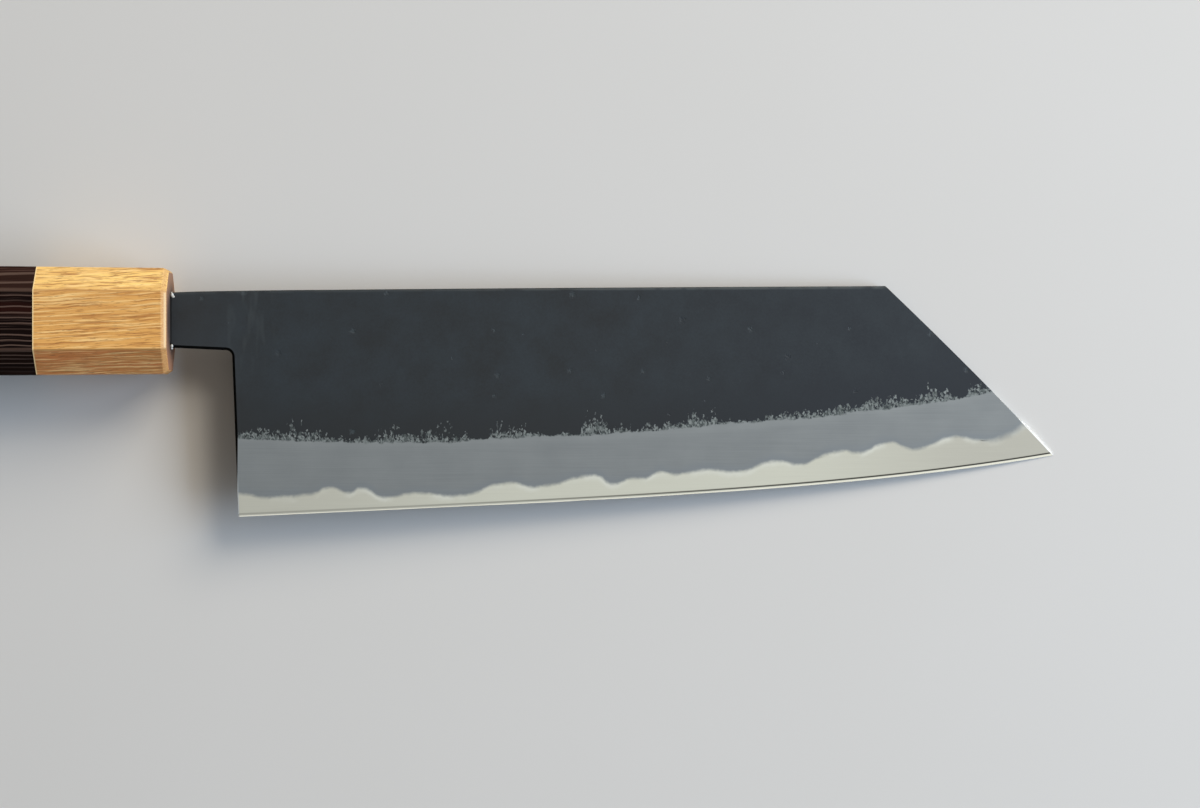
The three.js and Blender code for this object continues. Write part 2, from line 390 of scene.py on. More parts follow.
def close_material(sheet: NodeSheet, surface: Surface, relief_mm: float, **constants: float) -> None:
    """Ends a material with its relief, shader and output.

    Args:
        sheet: Node sheet of the material.
        surface: Sockets of the finish.
        relief_mm: Depth of the relief in millimetres.
        constants: Other inputs of the shader that are the same all over.
    """
    bump = sheet.add(Node.BUMP, height=surface.relief, strength=0.5, distance=relief_mm * MM)
    shader = sheet.add(
        Node.PRINCIPLED,
        base_color=surface.colour,
        metallic=surface.metallic,
        roughness=surface.roughness,
        normal=bump,
        **constants,
    )
    sheet.add(Node.MATERIAL_OUTPUT, shader)


def knife_place(sheet: NodeSheet, knife: KnifeFrame) -> Socket:
    """Adds a point's position in knife millimetres."""
    point = sheet.add(Node.COORDINATES, take="Object")
    return sheet.add(Node.STRETCH, point, knife.origin, (0, knife.pitch, 0), (MM, MM, MM))


def distance(sheet: NodeSheet, value: Socket, place: float) -> Socket:
    """Adds the distance between a value and a place."""
    offset = sheet.add(Node.SUBTRACT, value, place)
    return sheet.add(Node.ABSOLUTE, offset)


@dataclass(frozen=True)
class BladeSockets:
    """Sockets that say where a point of the blade lies, in millimetres.

    Attributes:
        sheet: Node sheet of the material.
        place: Position in the knife's frame.
        x: Distance from the ferrule.
        above_edge: Height above the edge.
        above_ridge: Height above the grinding ridge.
        above_weld: Height above the weld line.
        below_spine: Depth below the spine.
        from_heel: Distance from the heel's upright rim.
        from_clip: Distance from the rim of the clipped tip.
        along_clip: Share of the way from the spine's corner to the tip.
    """

    sheet: NodeSheet
    place: Socket
    x: Socket
    above_edge: Socket
    above_ridge: Socket
    above_weld: Socket
    below_spine: Socket
    from_heel: Socket
    from_clip: Socket
    along_clip: Socket

    @classmethod
    def lay_out(
        cls, sheet: NodeSheet, knife: KnifeFrame, lines: BladeLines, face: BladeFace
    ) -> "BladeSockets":
        """Adds the nodes that place a point against the blade's lines.

        Args:
            sheet: Node sheet of the material.
            knife: The knife's frame.
            lines: The blade's lines.
            face: Face whose weld line is followed.

        Returns:
            The sockets.
        """
        place = knife_place(sheet, knife)
        x = sheet.add(Node.SPLIT_XYZ, place)
        y = x.node.outputs["Y"]
        above_edge, above_ridge = cls._heights(sheet, lines, x, y)
        lean = (lines.choil[0] - lines.heel[0]) / (lines.choil[1] - lines.heel[1])
        heel_x = sheet.add(Node.MULTIPLY_ADD, y, lean, lines.heel[0] - lean * lines.heel[1])
        from_clip, along_clip = cls._clip(sheet, lines, place)
        return cls(
            sheet=sheet,
            place=place,
            x=x,
            above_edge=above_edge,
            above_ridge=above_ridge,
            above_weld=cls._weld_height(sheet, lines.weld_points(face), x, above_edge),
            below_spine=cls._spine_depth(sheet, lines, x, y),
            from_heel=sheet.add(Node.SUBTRACT, x, heel_x),
            from_clip=from_clip,
            along_clip=along_clip,
        )

    @staticmethod
    def _heights(sheet: NodeSheet, lines: BladeLines, x: Socket, y: Socket) -> tuple[Socket, Socket]:
        """Adds the heights above the edge, which a belly lifts at the tip, and above the bowed ridge.

        Args:
            sheet: Node sheet of the material.
            lines: The blade's lines.
            x: Distance from the ferrule.
            y: Height above the handle's axis.

        Returns:
            Height above the edge and height above the ridge.
        """
        along = sheet.add(Node.MULTIPLY_ADD, x, 1 / lines.edge_length, -lines.heel[0] / lines.edge_length)
        bent = sheet.add(Node.POWER, along, lines.belly_power)
        edge = sheet.add(Node.MULTIPLY_ADD, along, lines.edge_rise, lines.heel[1])
        edge = sheet.add(Node.MULTIPLY_ADD, bent, lines.belly_rise, edge)
        squared = sheet.add(Node.MULTIPLY, along, along)
        ridge = sheet.add(Node.MULTIPLY_ADD, along, lines.ridge_dip, lines.ridge_start)
        ridge = sheet.add(Node.MULTIPLY_ADD, squared, lines.ridge_lift, ridge)
        return sheet.add(Node.SUBTRACT, y, edge), sheet.add(Node.SUBTRACT, y, ridge)

    @staticmethod
    def _weld_height(
        sheet: NodeSheet, points: list[tuple[float, float]], x: Socket, above_edge: Socket
    ) -> Socket:
        """Adds the height above the weld line, which a curve through its crests and hollows gives.

        Args:
            sheet: Node sheet of the material.
            points: Crests and hollows, as x and height above the edge.
            x: Distance from the ferrule.
            above_edge: Height above the edge.

        Returns:
            Height above the weld line.
        """
        span, rise = 200.0, 10.0
        share = sheet.add(Node.DIVIDE, x, span)
        weld = sheet.add(Node.CURVE, value=share)
        curve = weld.node.mapping.curves[0]
        spots = [(point_x / span, height / rise) for point_x, height in points]
        curve.points[0].location = (0.0, spots[0][1])
        curve.points[1].location = (1.0, spots[-1][1])
        for spot in spots:
            curve.points.new(*spot)
        weld.node.mapping.update()
        return sheet.add(Node.MULTIPLY_ADD, weld, -rise, above_edge)

    @staticmethod
    def _spine_depth(sheet: NodeSheet, lines: BladeLines, x: Socket, y: Socket) -> Socket:
        """Adds the depth below the spine, which rises fast behind the neck and then ever slower.

        Args:
            sheet: Node sheet of the material.
            lines: The blade's lines.
            x: Distance from the ferrule.
            y: Height above the handle's axis.

        Returns:
            Depth below the spine.
        """
        corner_x, corner_y = lines.spine_corner
        along = sheet.add(Node.DIVIDE, x, corner_x)
        risen = sheet.add(Node.POWER, along, lines.spine_power)
        spine = sheet.add(Node.MULTIPLY_ADD, risen, corner_y - lines.neck_top, lines.neck_top)
        return sheet.add(Node.SUBTRACT, spine, y)

    @staticmethod
    def _clip(sheet: NodeSheet, lines: BladeLines, place: Socket) -> tuple[Socket, Socket]:
        """Adds the place against the clipped tip's bowed rim.

        Args:
            sheet: Node sheet of the material.
            lines: The blade's lines.
            place: Position in the knife's frame.

        Returns:
            Distance from the rim and share of the way along it.
        """
        corner = Vector((*lines.spine_corner, 0))
        run = Vector((*lines.tip, 0)) - corner
        inward = Vector((run.y, -run.x, 0)).normalized()
        offset = sheet.add(Node.VECTOR_SUBTRACT, place, corner)
        along = sheet.add(Node.VECTOR_DOT, offset, run / run.length_squared)
        inside = sheet.add(Node.VECTOR_DOT, offset, inward)
        rest = sheet.add(Node.SUBTRACT, 1.0, along)
        bow = sheet.add(Node.MULTIPLY, along, rest)
        # The bow is a quarter at its middle, where the rim stands out in full
        return sheet.add(Node.MULTIPLY_ADD, bow, 4 * lines.clip_bulge, inside), along

    def uneven(self, height: Socket, bumps: tuple[Bumps, ...]) -> Socket:
        """Adds bumps to a height, so that a line drawn by it wanders as a hand's does.

        Args:
            height: Height above a line.
            bumps: Kinds of bumps.

        Returns:
            The height above the uneven line.
        """
        for bump in bumps:
            noise = self.sheet.add(Node.NOISE, self.place, scale=1 / bump.size_mm, detail=bump.detail)
            height = self.sheet.add(Node.MULTIPLY_ADD, noise, bump.height_mm, height)
        return self.sheet.add(Node.SUBTRACT, height, sum(bump.height_mm for bump in bumps) / 2)


class BladeLayer(Protocol):
    """A mark of forge, wheel or stone on the blade's metal, or a highlight painted on it."""

    def lay(self, at: BladeSockets, below: Surface) -> Surface:
        """Adds the layer over a surface."""


@dataclass(frozen=True)
class GroundBevel:
    """Ground bevel of a laminated blade, hazed on stones: misty grey iron that fades into pale hard steel.

    The weld shows as a soft, uneven line that blurs at the tip, whiter below its crests and bluish above its
    hollows, and fine lines run the way the wheel went.
    """

    iron: str = "#7D8182"
    iron_pale: str = "#8D9191"
    iron_blue: str = "#777E84"
    steel: str = "#CDCDBF"
    steel_grey: str = "#B5B3A8"
    weld_white: str = "#D9DAD1"
    iron_roughness: float = 0.42
    steel_roughness: float = 0.36
    # A real scratch is some hundredths of a millimetre wide: these are drawn wider, so that they show
    grind_line_mm: tuple[float, float, float] = (16.0, 0.2, 0.2)
    cloud_mm: float = 8.0
    # The weld, which blurs along the last stretch before the tip
    weld_bumps: tuple[Bumps, ...] = (Bumps(0.9, 0.5), Bumps(3.2, 0.8, 1.0))
    weld_half_width_mm: Ramp = Ramp(176.0, 189.0, 0.55, 1.5)
    # Tones of the iron
    cloud_in_shine: float = 0.8
    iron_shine: Ramp = Ramp(0.65, 1.15, high=0.45)
    pale_under_ridge_mm: Ramp = Ramp(-2.4, -0.5, high=0.7)
    blue_over_weld_mm: Ramp = Ramp(2.4, 0.4, high=0.7)
    # Tones of the steel
    grey_heel_mm: Ramp = Ramp(80.0, 25.0, high=0.5)
    grey_tip_mm: Ramp = Ramp(128.0, 188.0, high=0.9)
    grind_in_steel: float = 0.4
    steel_tone: Ramp = Ramp(0.12, 1.1)
    white_crest_mm: Ramp = Ramp(-1.6, -0.3)
    white_patches: Ramp = Ramp(0.42, 0.62, high=0.6)

    def lay(self, at: BladeSockets) -> Surface:
        """Adds the bevel's nodes.

        Args:
            at: Place on the blade.

        Returns:
            The bare bevel.
        """
        add = at.sheet.add
        stretched = add(Node.STRETCH, at.place, scale=self.grind_line_mm)
        grind = add(Node.NOISE, stretched, scale=1.0, detail=3.0, roughness=0.6)
        cloud = add(Node.NOISE, at.place, scale=1 / self.cloud_mm, detail=3.0)
        level = at.uneven(at.above_weld, self.weld_bumps)
        half_width = add(Node.RAMP, at.x, *self.weld_half_width_mm)
        lowest = add(Node.MULTIPLY, half_width, -1.0)
        share = add(Node.RAMP, level, lowest, half_width)
        steel = self._steel_colour(at, level, cloud, grind)
        iron = self._iron_colour(at, level, cloud, grind)
        colour = add(Node.MIX_COLOUR, share, steel, iron)
        roughness = add(Node.LINEAR, share, 0.0, 1.0, self.steel_roughness, self.iron_roughness)
        return Surface(colour, 1.0, roughness, grind)

    def _iron_colour(self, at: BladeSockets, level: Socket, cloud: Socket, grind: Socket) -> Socket:
        """Adds the misty grey of the iron, paler under the ridge and bluish over the weld.

        Args:
            at: Place on the blade.
            level: Height above the uneven weld.
            cloud: Pattern of soft clouds.
            grind: Pattern of grinding lines.

        Returns:
            Colour of the iron.
        """
        add = at.sheet.add
        shine = add(Node.MULTIPLY_ADD, cloud, self.cloud_in_shine, grind)
        shine = add(Node.LINEAR, shine, *self.iron_shine)
        grey = add(Node.MIX_COLOUR, shine, self.iron, self.iron_pale)
        under_ridge = add(Node.RAMP, at.above_ridge, *self.pale_under_ridge_mm)
        under_ridge = add(Node.MULTIPLY, under_ridge, cloud)
        grey = add(Node.MIX_COLOUR, under_ridge, grey, self.iron_pale)
        over_weld = add(Node.RAMP, level, *self.blue_over_weld_mm)
        over_weld = add(Node.MULTIPLY, over_weld, cloud)
        return add(Node.MIX_COLOUR, over_weld, grey, self.iron_blue)

    def _steel_colour(self, at: BladeSockets, level: Socket, cloud: Socket, grind: Socket) -> Socket:
        """Adds the pale steel, greyer towards heel and tip and whiter under the weld's crests.

        Args:
            at: Place on the blade.
            level: Height above the uneven weld.
            cloud: Pattern of soft clouds.
            grind: Pattern of grinding lines.

        Returns:
            Colour of the steel.
        """
        add = at.sheet.add
        near_heel = add(Node.RAMP, at.x, *self.grey_heel_mm)
        near_tip = add(Node.RAMP, at.x, *self.grey_tip_mm)
        ends = add(Node.MAXIMUM, near_heel, near_tip)
        tone = add(Node.MULTIPLY_ADD, grind, self.grind_in_steel, ends)
        tone = add(Node.LINEAR, tone, *self.steel_tone)
        steel = add(Node.MIX_COLOUR, tone, self.steel, self.steel_grey)
        crest = add(Node.RAMP, level, *self.white_crest_mm)
        patch = add(Node.RAMP, cloud, *self.white_patches)
        crest = add(Node.MULTIPLY, crest, patch)
        return add(Node.MIX_COLOUR, crest, steel, self.weld_white)


@dataclass(frozen=True)
class RimHighlight:
    """Painted highlight on the rims: a white line along the clipped point and a pale one up the heel, where
    their edges catch the light.
    """

    bright: str = "#F6F6F2"
    pale: str = "#A9AEB0"
    heel_mm: Ramp = Ramp(0.3, 0.1, high=0.8)
    clip_mm: Ramp = Ramp(0.2, 0.1)
    along_clip: Ramp = Ramp(0.765, 0.86)

    def lay(self, at: BladeSockets, below: Surface) -> Surface:
        """Adds the rim over a bare bevel.

        Args:
            at: Place on the blade.
            below: The bare bevel.

        Returns:
            The bevel with its rim.
        """
        add = at.sheet.add
        # Painted highlight: a pale line up the heel's rim
        heel = add(Node.RAMP, at.from_heel, *self.heel_mm)
        colour = add(Node.MIX_COLOUR, heel, below.colour, self.pale)
        # Painted highlight: the clip's rim is drawn white and loses its metal
        clip = add(Node.RAMP, at.from_clip, *self.clip_mm)
        lower = add(Node.RAMP, at.along_clip, *self.along_clip)
        clip = add(Node.MULTIPLY, clip, lower)
        colour = add(Node.MIX_COLOUR, clip, colour, self.bright)
        metallic = add(Node.SUBTRACT_CLAMPED, below.metallic, clip)
        return Surface(colour, metallic, below.roughness, below.relief)


@dataclass(frozen=True)
class HonedEdge:
    """Edge honed on a fine stone: a thin, smoother band drawn bright as a painted highlight, with a dark
    line where it leaves the ground bevel.
    """

    bright: str = "#F4F2E2"
    line: str = "#2B2A25"
    roughness: float = 0.22
    line_height_mm: float = 0.66
    line_half_width_mm: Ramp = Ramp(0.26, 0.06, high=0.95)
    line_along_mm: Ramp = Ramp(25.0, 150.0, 0.25)
    bright_height_mm: Ramp = Ramp(90.0, 180.0, 0.3, 0.5)
    bright_fade_mm: Ramp = Ramp(0.0, 0.1)

    def lay(self, at: BladeSockets, below: Surface) -> Surface:
        """Adds the honed band over a bare bevel.

        Args:
            at: Place on the blade.
            below: The bare bevel.

        Returns:
            The bevel with its honed edge.
        """
        add = at.sheet.add
        off = distance(at.sheet, at.above_edge, self.line_height_mm)
        line = add(Node.RAMP, off, *self.line_half_width_mm)
        far = add(Node.RAMP, at.x, *self.line_along_mm)
        line = add(Node.MULTIPLY, line, far)
        colour = add(Node.MIX_COLOUR, line, below.colour, self.line)
        # Painted highlight: the honed band is drawn near white; only its lower roughness comes from the
        # honing
        height = add(Node.LINEAR, at.x, *self.bright_height_mm)
        left = add(Node.SUBTRACT, height, at.above_edge)
        honed = add(Node.RAMP, left, *self.bright_fade_mm)
        colour = add(Node.MIX_COLOUR, honed, colour, self.bright)
        roughness = add(Node.MIX_VALUE, honed, below.roughness, self.roughness)
        return Surface(colour, below.metallic, roughness, below.relief)


@dataclass(frozen=True)
class WornPatch:
    """A place along the ridge where the wheel reached farther up.

    Attributes:
        x_mm: Middle of the patch.
        half_width_mm: How far it runs to either side.
        reach_mm: How much higher the wear reaches there.
    """

    x_mm: float
    half_width_mm: float
    reach_mm: float


@dataclass(frozen=True)
class ForgeScale:
    """Magnetite scale left from the forge: a blue-black, faintly mottled and pitted satin skin.

    The grinding wheel has bitten through it along the ridge, where chips of bare iron show in a ragged zone.
    A painted highlight runs along its eased spine, and hands have left it paler where they rub the neck's
    shoulder.
    """

    black: str = "#040A0E"
    pale: str = "#172026"
    blue: str = "#000C18"
    brown: str = "#1B1612"
    pit_pale: str = "#2B3438"
    # Paler tone of the painted spine highlight and of the rub marks on the shoulder
    rub_and_highlight: str = "#3A4042"
    chip_dark: str = "#404646"
    chip_pale: str = "#8B9190"
    # The skin and its pits
    roughness: float = 0.5
    roughness_spread: float = 0.16
    mottle_mm: float = 9.0
    grain_mm: float = 0.5
    grain_in_tone: float = 0.5
    tone: Ramp = Ramp(0.5, 1.0)
    tone_above_ridge_mm: Ramp = Ramp(0.0, 14.0, 0.1)
    # Painted bluish sheen on the scale towards the tip
    blue_sheen_tip_mm: Ramp = Ramp(70.0, 170.0, high=0.8)
    brown_neck_mm: Ramp = Ramp(24.0, 2.0, high=0.25)
    pit_spacing_mm: float = 8.0
    pit_size: Ramp = Ramp(0.5, 1.0, high=0.12)
    # Relief, as shares of the scale's thickness
    grain_relief: float = 0.4
    pit_relief: float = 2.5
    bare_relief: float = 0.15
    # The ragged zone above the ridge
    ridge_bumps: tuple[Bumps, ...] = (Bumps(16.0, 1.6), Bumps(1.3, 1.1))
    ridge_fade_mm: Ramp = Ramp(-0.2, 0.2)
    middle_mm: float = 103.0
    sag_mm: Ramp = Ramp(32.0, 46.0, high=0.5)
    chip_mm: tuple[float, float, float] = (0.28, 0.5, 0.5)
    chip_warp_mm: float = 0.6
    chip_tone: Ramp = Ramp(0.0, 1.2)
    chip_fade: Ramp = Ramp(-0.1, 0.0)
    cluster_mm: float = 5.0
    cluster_reach_mm: Ramp = Ramp(0.44, 0.6, 0.3, 1.6)
    ragged_mm: tuple[float, float, float] = (0.9, 5.0, 5.0)
    ragged_reach: Ramp = Ramp(0.32, 0.68, 0.5, 1.4)
    wear: Ramp = Ramp(0.0, 1.0, 0.95, -0.01)
    wear_power: float = 1.6
    patches: tuple[WornPatch, ...] = (
        WornPatch(25.0, 13.0, 2.2),
        WornPatch(53.0, 15.0, 1.8),
        WornPatch(74.0, 5.0, 1.4),
        WornPatch(92.8, 3.8, 4.0),
        WornPatch(116.5, 5.0, 2.2),
        WornPatch(137.0, 4.5, 1.5),
        WornPatch(146.0, 4.0, 1.4),
        WornPatch(157.0, 7.0, 2.3),
        WornPatch(168.0, 6.0, 2.6),
        WornPatch(178.0, 3.0, 1.5),
    )
    # The painted highlight along the spine, and the rub marks on the shoulder
    spine_highlight_mm: Ramp = Ramp(0.85, 0.4)
    spine_highlight_along_mm: Ramp = Ramp(40.0, 150.0, 0.25, 0.95)
    spine_gap_mm: float = 4.0
    spine_gaps: Ramp = Ramp(0.3, 0.6)
    shoulder_mm: float = 17.0
    shoulder_reach_mm: Ramp = Ramp(8.0, 1.0, high=0.3)
    shoulder_height_mm: Ramp = Ramp(12.0, 22.0)
    mark_mm: tuple[float, float, float] = (1.5, 6.0, 6.0)
    marks: Ramp = Ramp(0.45, 0.75)

    def lay(self, at: BladeSockets, below: Surface) -> Surface:
        """Adds the scale over bare metal.

        Args:
            at: Place on the blade.
            below: The bare metal.

        Returns:
            The metal with its scale.
        """
        add = at.sheet.add
        luck, tone = self._chips(at)
        over_ridge, scale = self._cover(at, luck)
        black, grain, pits = self._skin(at)
        chip = add(Node.MIX_COLOUR, tone, self.chip_dark, self.chip_pale)
        bare = add(Node.MIX_COLOUR, over_ridge, below.colour, chip)
        colour = add(Node.MIX_COLOUR, scale, bare, black)
        metallic = add(Node.SUBTRACT_CLAMPED, 1.0, scale)
        smoothest = self.roughness - self.roughness_spread / 2
        satin = add(Node.MULTIPLY_ADD, grain, self.roughness_spread, smoothest)
        roughness = add(Node.MIX_VALUE, scale, below.roughness, satin)
        crust = add(Node.MULTIPLY_ADD, grain, self.grain_relief, scale)
        crust = add(Node.MULTIPLY_ADD, pits, -self.pit_relief, crust)
        fine = add(Node.MULTIPLY, below.relief, self.bare_relief)
        relief = add(Node.MIX_VALUE, scale, fine, crust)
        return Surface(colour, metallic, roughness, relief)

    def _chips(self, at: BladeSockets) -> tuple[Socket, Socket]:
        """Adds the small angular chips in which the scale comes off.

        Args:
            at: Place on the blade.

        Returns:
            The luck of each chip, which decides whether it stays, and its tone.
        """
        add = at.sheet.add
        drift = add(Node.DRIFT, at.place, scale=1 / self.chip_warp_mm, detail=2.0, take="Color")
        warp = (self.chip_warp_mm / 2, self.chip_warp_mm / 2, 0.0)
        warped = add(Node.VECTOR_MULTIPLY_ADD, drift, warp, at.place)
        stretched = add(Node.STRETCH, warped, scale=self.chip_mm)
        chips = add(Node.CELLS, stretched, scale=1.0, take="Color")
        luck = add(Node.SPLIT_COLOUR, chips)
        return luck, add(Node.LINEAR, luck.node.outputs["Green"], *self.chip_tone)

    def _cover(self, at: BladeSockets, luck: Socket) -> tuple[Socket, Socket]:
        """Adds the scale that the wheel has left.

        Args:
            at: Place on the blade.
            luck: Luck of each chip.

        Returns:
            1 above the ridge and 0 below it, and 1 on scale and 0 on bare iron.
        """
        add = at.sheet.add
        height = at.uneven(at.above_ridge, self.ridge_bumps)
        aside = distance(at.sheet, at.x, self.middle_mm)
        sag = add(Node.RAMP, aside, *self.sag_mm)
        height = add(Node.ADD, height, sag)
        over_ridge = add(Node.RAMP, height, *self.ridge_fade_mm)

        cluster = add(Node.NOISE, at.place, scale=1 / self.cluster_mm, detail=2.0)
        reach = add(Node.RAMP, cluster, *self.cluster_reach_mm)
        for patch in self.patches:
            aside = distance(at.sheet, at.x, patch.x_mm)
            worn = add(Node.RAMP, aside, patch.half_width_mm, patch.half_width_mm / 2, 0.0, patch.reach_mm)
            reach = add(Node.ADD, reach, worn)
        upright = add(Node.STRETCH, at.place, scale=self.ragged_mm)
        ragged = add(Node.NOISE, upright, scale=1.0, detail=2.0)
        ragged = add(Node.LINEAR, ragged, *self.ragged_reach)
        reach = add(Node.MULTIPLY, reach, ragged)

        share = add(Node.DIVIDE_CLAMPED, height, reach)
        share = add(Node.POWER, share, self.wear_power)
        worn = add(Node.LINEAR, share, *self.wear)
        left = add(Node.SUBTRACT, luck, worn)
        left = add(Node.RAMP, left, *self.chip_fade)
        return over_ridge, add(Node.MULTIPLY, left, over_ridge)

    def _skin(self, at: BladeSockets) -> tuple[Socket, Socket, Socket]:
        """Adds the skin's mottled black with a painted bluish sheen towards the tip and its brown neck, its
        grain and its pits.

        Args:
            at: Place on the blade.

        Returns:
            Colour of the skin, its grain and its pits, as 1 in a pit and 0 beside it.
        """
        add = at.sheet.add
        mottle = add(Node.NOISE, at.place, scale=1 / self.mottle_mm, detail=5.0, roughness=0.6)
        grain = add(Node.NOISE, at.place, scale=1 / self.grain_mm, detail=3.0, roughness=0.65)
        tone = add(Node.MULTIPLY_ADD, grain, self.grain_in_tone, mottle)
        tone = add(Node.LINEAR, tone, *self.tone)
        high = add(Node.RAMP, at.above_ridge, *self.tone_above_ridge_mm)
        tone = add(Node.MULTIPLY, tone, high)
        # Painted bluish sheen towards the tip
        near_tip = add(Node.RAMP, at.x, *self.blue_sheen_tip_mm)
        black = add(Node.MIX_COLOUR, near_tip, self.black, self.blue)
        black = add(Node.MIX_COLOUR, tone, black, self.pale)
        neck = add(Node.RAMP, at.x, *self.brown_neck_mm)
        black = add(Node.MIX_COLOUR, neck, black, self.brown)

        drift = add(Node.DRIFT, at.place, scale=1 / self.grain_mm, detail=1.0, take="Color")
        ragged = add(Node.VECTOR_MULTIPLY_ADD, drift, (self.grain_mm, self.grain_mm, 0.0), at.place)
        dots = add(Node.CELLS, ragged, scale=1 / self.pit_spacing_mm)
        luck = add(Node.SPLIT_COLOUR, dots.node.outputs["Color"])
        size = add(Node.LINEAR, luck, *self.pit_size)
        pits = add(Node.RAMP, dots, size, 0.0)
        shine = add(Node.MULTIPLY, pits, luck.node.outputs["Green"])
        black = add(Node.MIX_COLOUR, shine, black, self.pit_pale)
        return self._rubbed_shoulder(at, self._painted_spine_highlight(at, black)), grain, pits

    def _painted_spine_highlight(self, at: BladeSockets, black: Socket) -> Socket:
        """Adds a painted highlight along the eased spine, in broken stretches and stronger towards the tip.

        Args:
            at: Place on the blade.
            black: Colour of the skin.

        Returns:
            Colour of the skin with the line.
        """
        add = at.sheet.add
        # Painted highlight along the spine's eased rim
        line = add(Node.RAMP, at.below_spine, *self.spine_highlight_mm)
        gaps = add(Node.NOISE, at.place, scale=1 / self.spine_gap_mm, detail=2.0)
        gaps = add(Node.RAMP, gaps, *self.spine_gaps)
        amount = add(Node.RAMP, at.x, *self.spine_highlight_along_mm)
        amount = add(Node.MULTIPLY, amount, gaps)
        line = add(Node.MULTIPLY, line, amount)
        return add(Node.MIX_COLOUR, line, black, self.rub_and_highlight)

    def _rubbed_shoulder(self, at: BladeSockets, black: Socket) -> Socket:
        """Adds soft upright rub marks on the neck's shoulder, which die out below it.

        Args:
            at: Place on the blade.
            black: Colour of the skin.

        Returns:
            Colour of the skin with the marks.
        """
        add = at.sheet.add
        stretched = add(Node.STRETCH, at.place, scale=self.mark_mm)
        marks = add(Node.NOISE, stretched, scale=1.0, detail=1.0)
        marks = add(Node.RAMP, marks, *self.marks)
        aside = distance(at.sheet, at.x, self.shoulder_mm)
        amount = add(Node.RAMP, aside, *self.shoulder_reach_mm)
        high = add(Node.RAMP, at.above_ridge, *self.shoulder_height_mm)
        amount = add(Node.MULTIPLY, amount, high)
        marks = add(Node.MULTIPLY, marks, amount)
        return add(Node.MIX_COLOUR, marks, black, self.rub_and_highlight)


@dataclass(frozen=True)
class BladeFinish:
    """A blade's bare ground metal, with the marks of forge, wheel and stone and painted highlights laid over
    it.

    Attributes:
        name: Material name, in which the face of the blade may be left open.
        layers: The marks and painted highlights, from the lowest up.
        bevel: The bare ground metal.
        relief_mm: Depth of the fine relief.
        gloss: Specular level of the scale.
    """

    name: str
    layers: tuple[BladeLayer, ...]
    bevel: GroundBevel = GroundBevel()
    relief_mm: float = 0.04
    gloss: float = 0.4

    def material(self, knife: KnifeFrame, lines: BladeLines, face: BladeFace) -> bpy.types.Material:
        """Builds the node material.

        Args:
            knife: The knife's frame.
            lines: The blade's lines.
            face: Face of the blade whose weld line is followed.

        Returns:
            The material.
        """
        material, sheet = new_material(self.name.format(face=face.name.lower()))
        at = BladeSockets.lay_out(sheet, knife, lines, face)
        surface = self.bevel.lay(at)
        for layer in self.layers:
            surface = layer.lay(at, surface)
        close_material(sheet, surface, self.relief_mm, specular_ior_level=self.gloss)
        return material


@dataclass(frozen=True)
class ForgeBlackIron(BladeFinish):
    """Soft iron cladding, forged black and ground along its lower bevel: satin black over misty grey."""

    name: str = "iron_forge_black_ground_{face}"
    layers: tuple[BladeLayer, ...] = (RimHighlight(), ForgeScale())


@dataclass(frozen=True)
class HonedCarbonSteel(BladeFinish):
    """Hard steel core, ground with the cladding and honed: pale, with a painted highlight along the edge and
    a black spine.
    """

    name: str = "carbon_steel_ground_honed"
    layers: tuple[BladeLayer, ...] = (HonedEdge(), RimHighlight(), ForgeScale())


@dataclass(frozen=True)
class ChoilShadeBlack:
    """Painted shade on the choil's chamfer: a dull, nearly lightless black that stands in for the shade
    along the underside of neck and heel.
    """

    # Painted shade: near black, with a faint mottle
    black: str = "#030404"
    oil: str = "#080807"
    roughness: float = 0.75
    roughness_spread: float = 0.2
    film_mm: float = 0.8
    relief_mm: float = 0.01
    gloss: float = 0.05

    def material(self, knife: KnifeFrame) -> bpy.types.Material:
        """Builds the node material.

        Args:
            knife: The knife's frame.

        Returns:
            The material.
        """
        material, sheet = new_material("iron_filed_blackened_oiled")
        place = knife_place(sheet, knife)
        film = sheet.add(Node.NOISE, place, scale=1 / self.film_mm, detail=3.0)
        colour = sheet.add(Node.MIX_COLOUR, film, self.black, self.oil)
        roughness = sheet.add(Node.MULTIPLY_ADD, film, self.roughness_spread, self.roughness)
        surface = Surface(colour, 0.0, roughness, film)
        close_material(sheet, surface, self.relief_mm, specular_ior_level=self.gloss)
        return material


@dataclass(frozen=True)
class GrainLayer:
    """One kind of line in a wood's grain.

    Attributes:
        colour: Colour of the lines.
        size_mm: Length along the grain, width or spacing across the rings and width along the rings.
        shows: Pattern levels at which a line starts to show and shows in full.
        amount: How strongly it colours the wood.
        relief: How far it sinks into the surface, as a share of the relief.
        pattern: How the lines follow one another.
    """

    colour: str
    size_mm: tuple[float, float, float]
    shows: Ramp
    amount: float
    relief: float = 0.0
    pattern: GrainPattern = GrainPattern.SCATTERED


@dataclass(frozen=True)
class CutEndOrPaintedStrip:
    """A face cut across the grain, the strip beside a joint, or a strip of painted shade or highlight.

    Attributes:
        x_mm: Its place along the handle.
        colour: Colour that the wood takes there.
        reach_mm: How far the colour runs into the wood.
        half_height_mm: How far from the handle's axis the colour reaches.
        fade_mm: Half the width of the strip in which it dies out there.
        spread: Whether that is measured up and down alone, or all round the axis.
        amount: How strongly it covers the grain.
    """

    x_mm: float
    colour: str
    reach_mm: float = 0.1
    half_height_mm: float = 20.0
    fade_mm: float = 0.5
    spread: Spread = Spread.ACROSS
    amount: float = 0.93


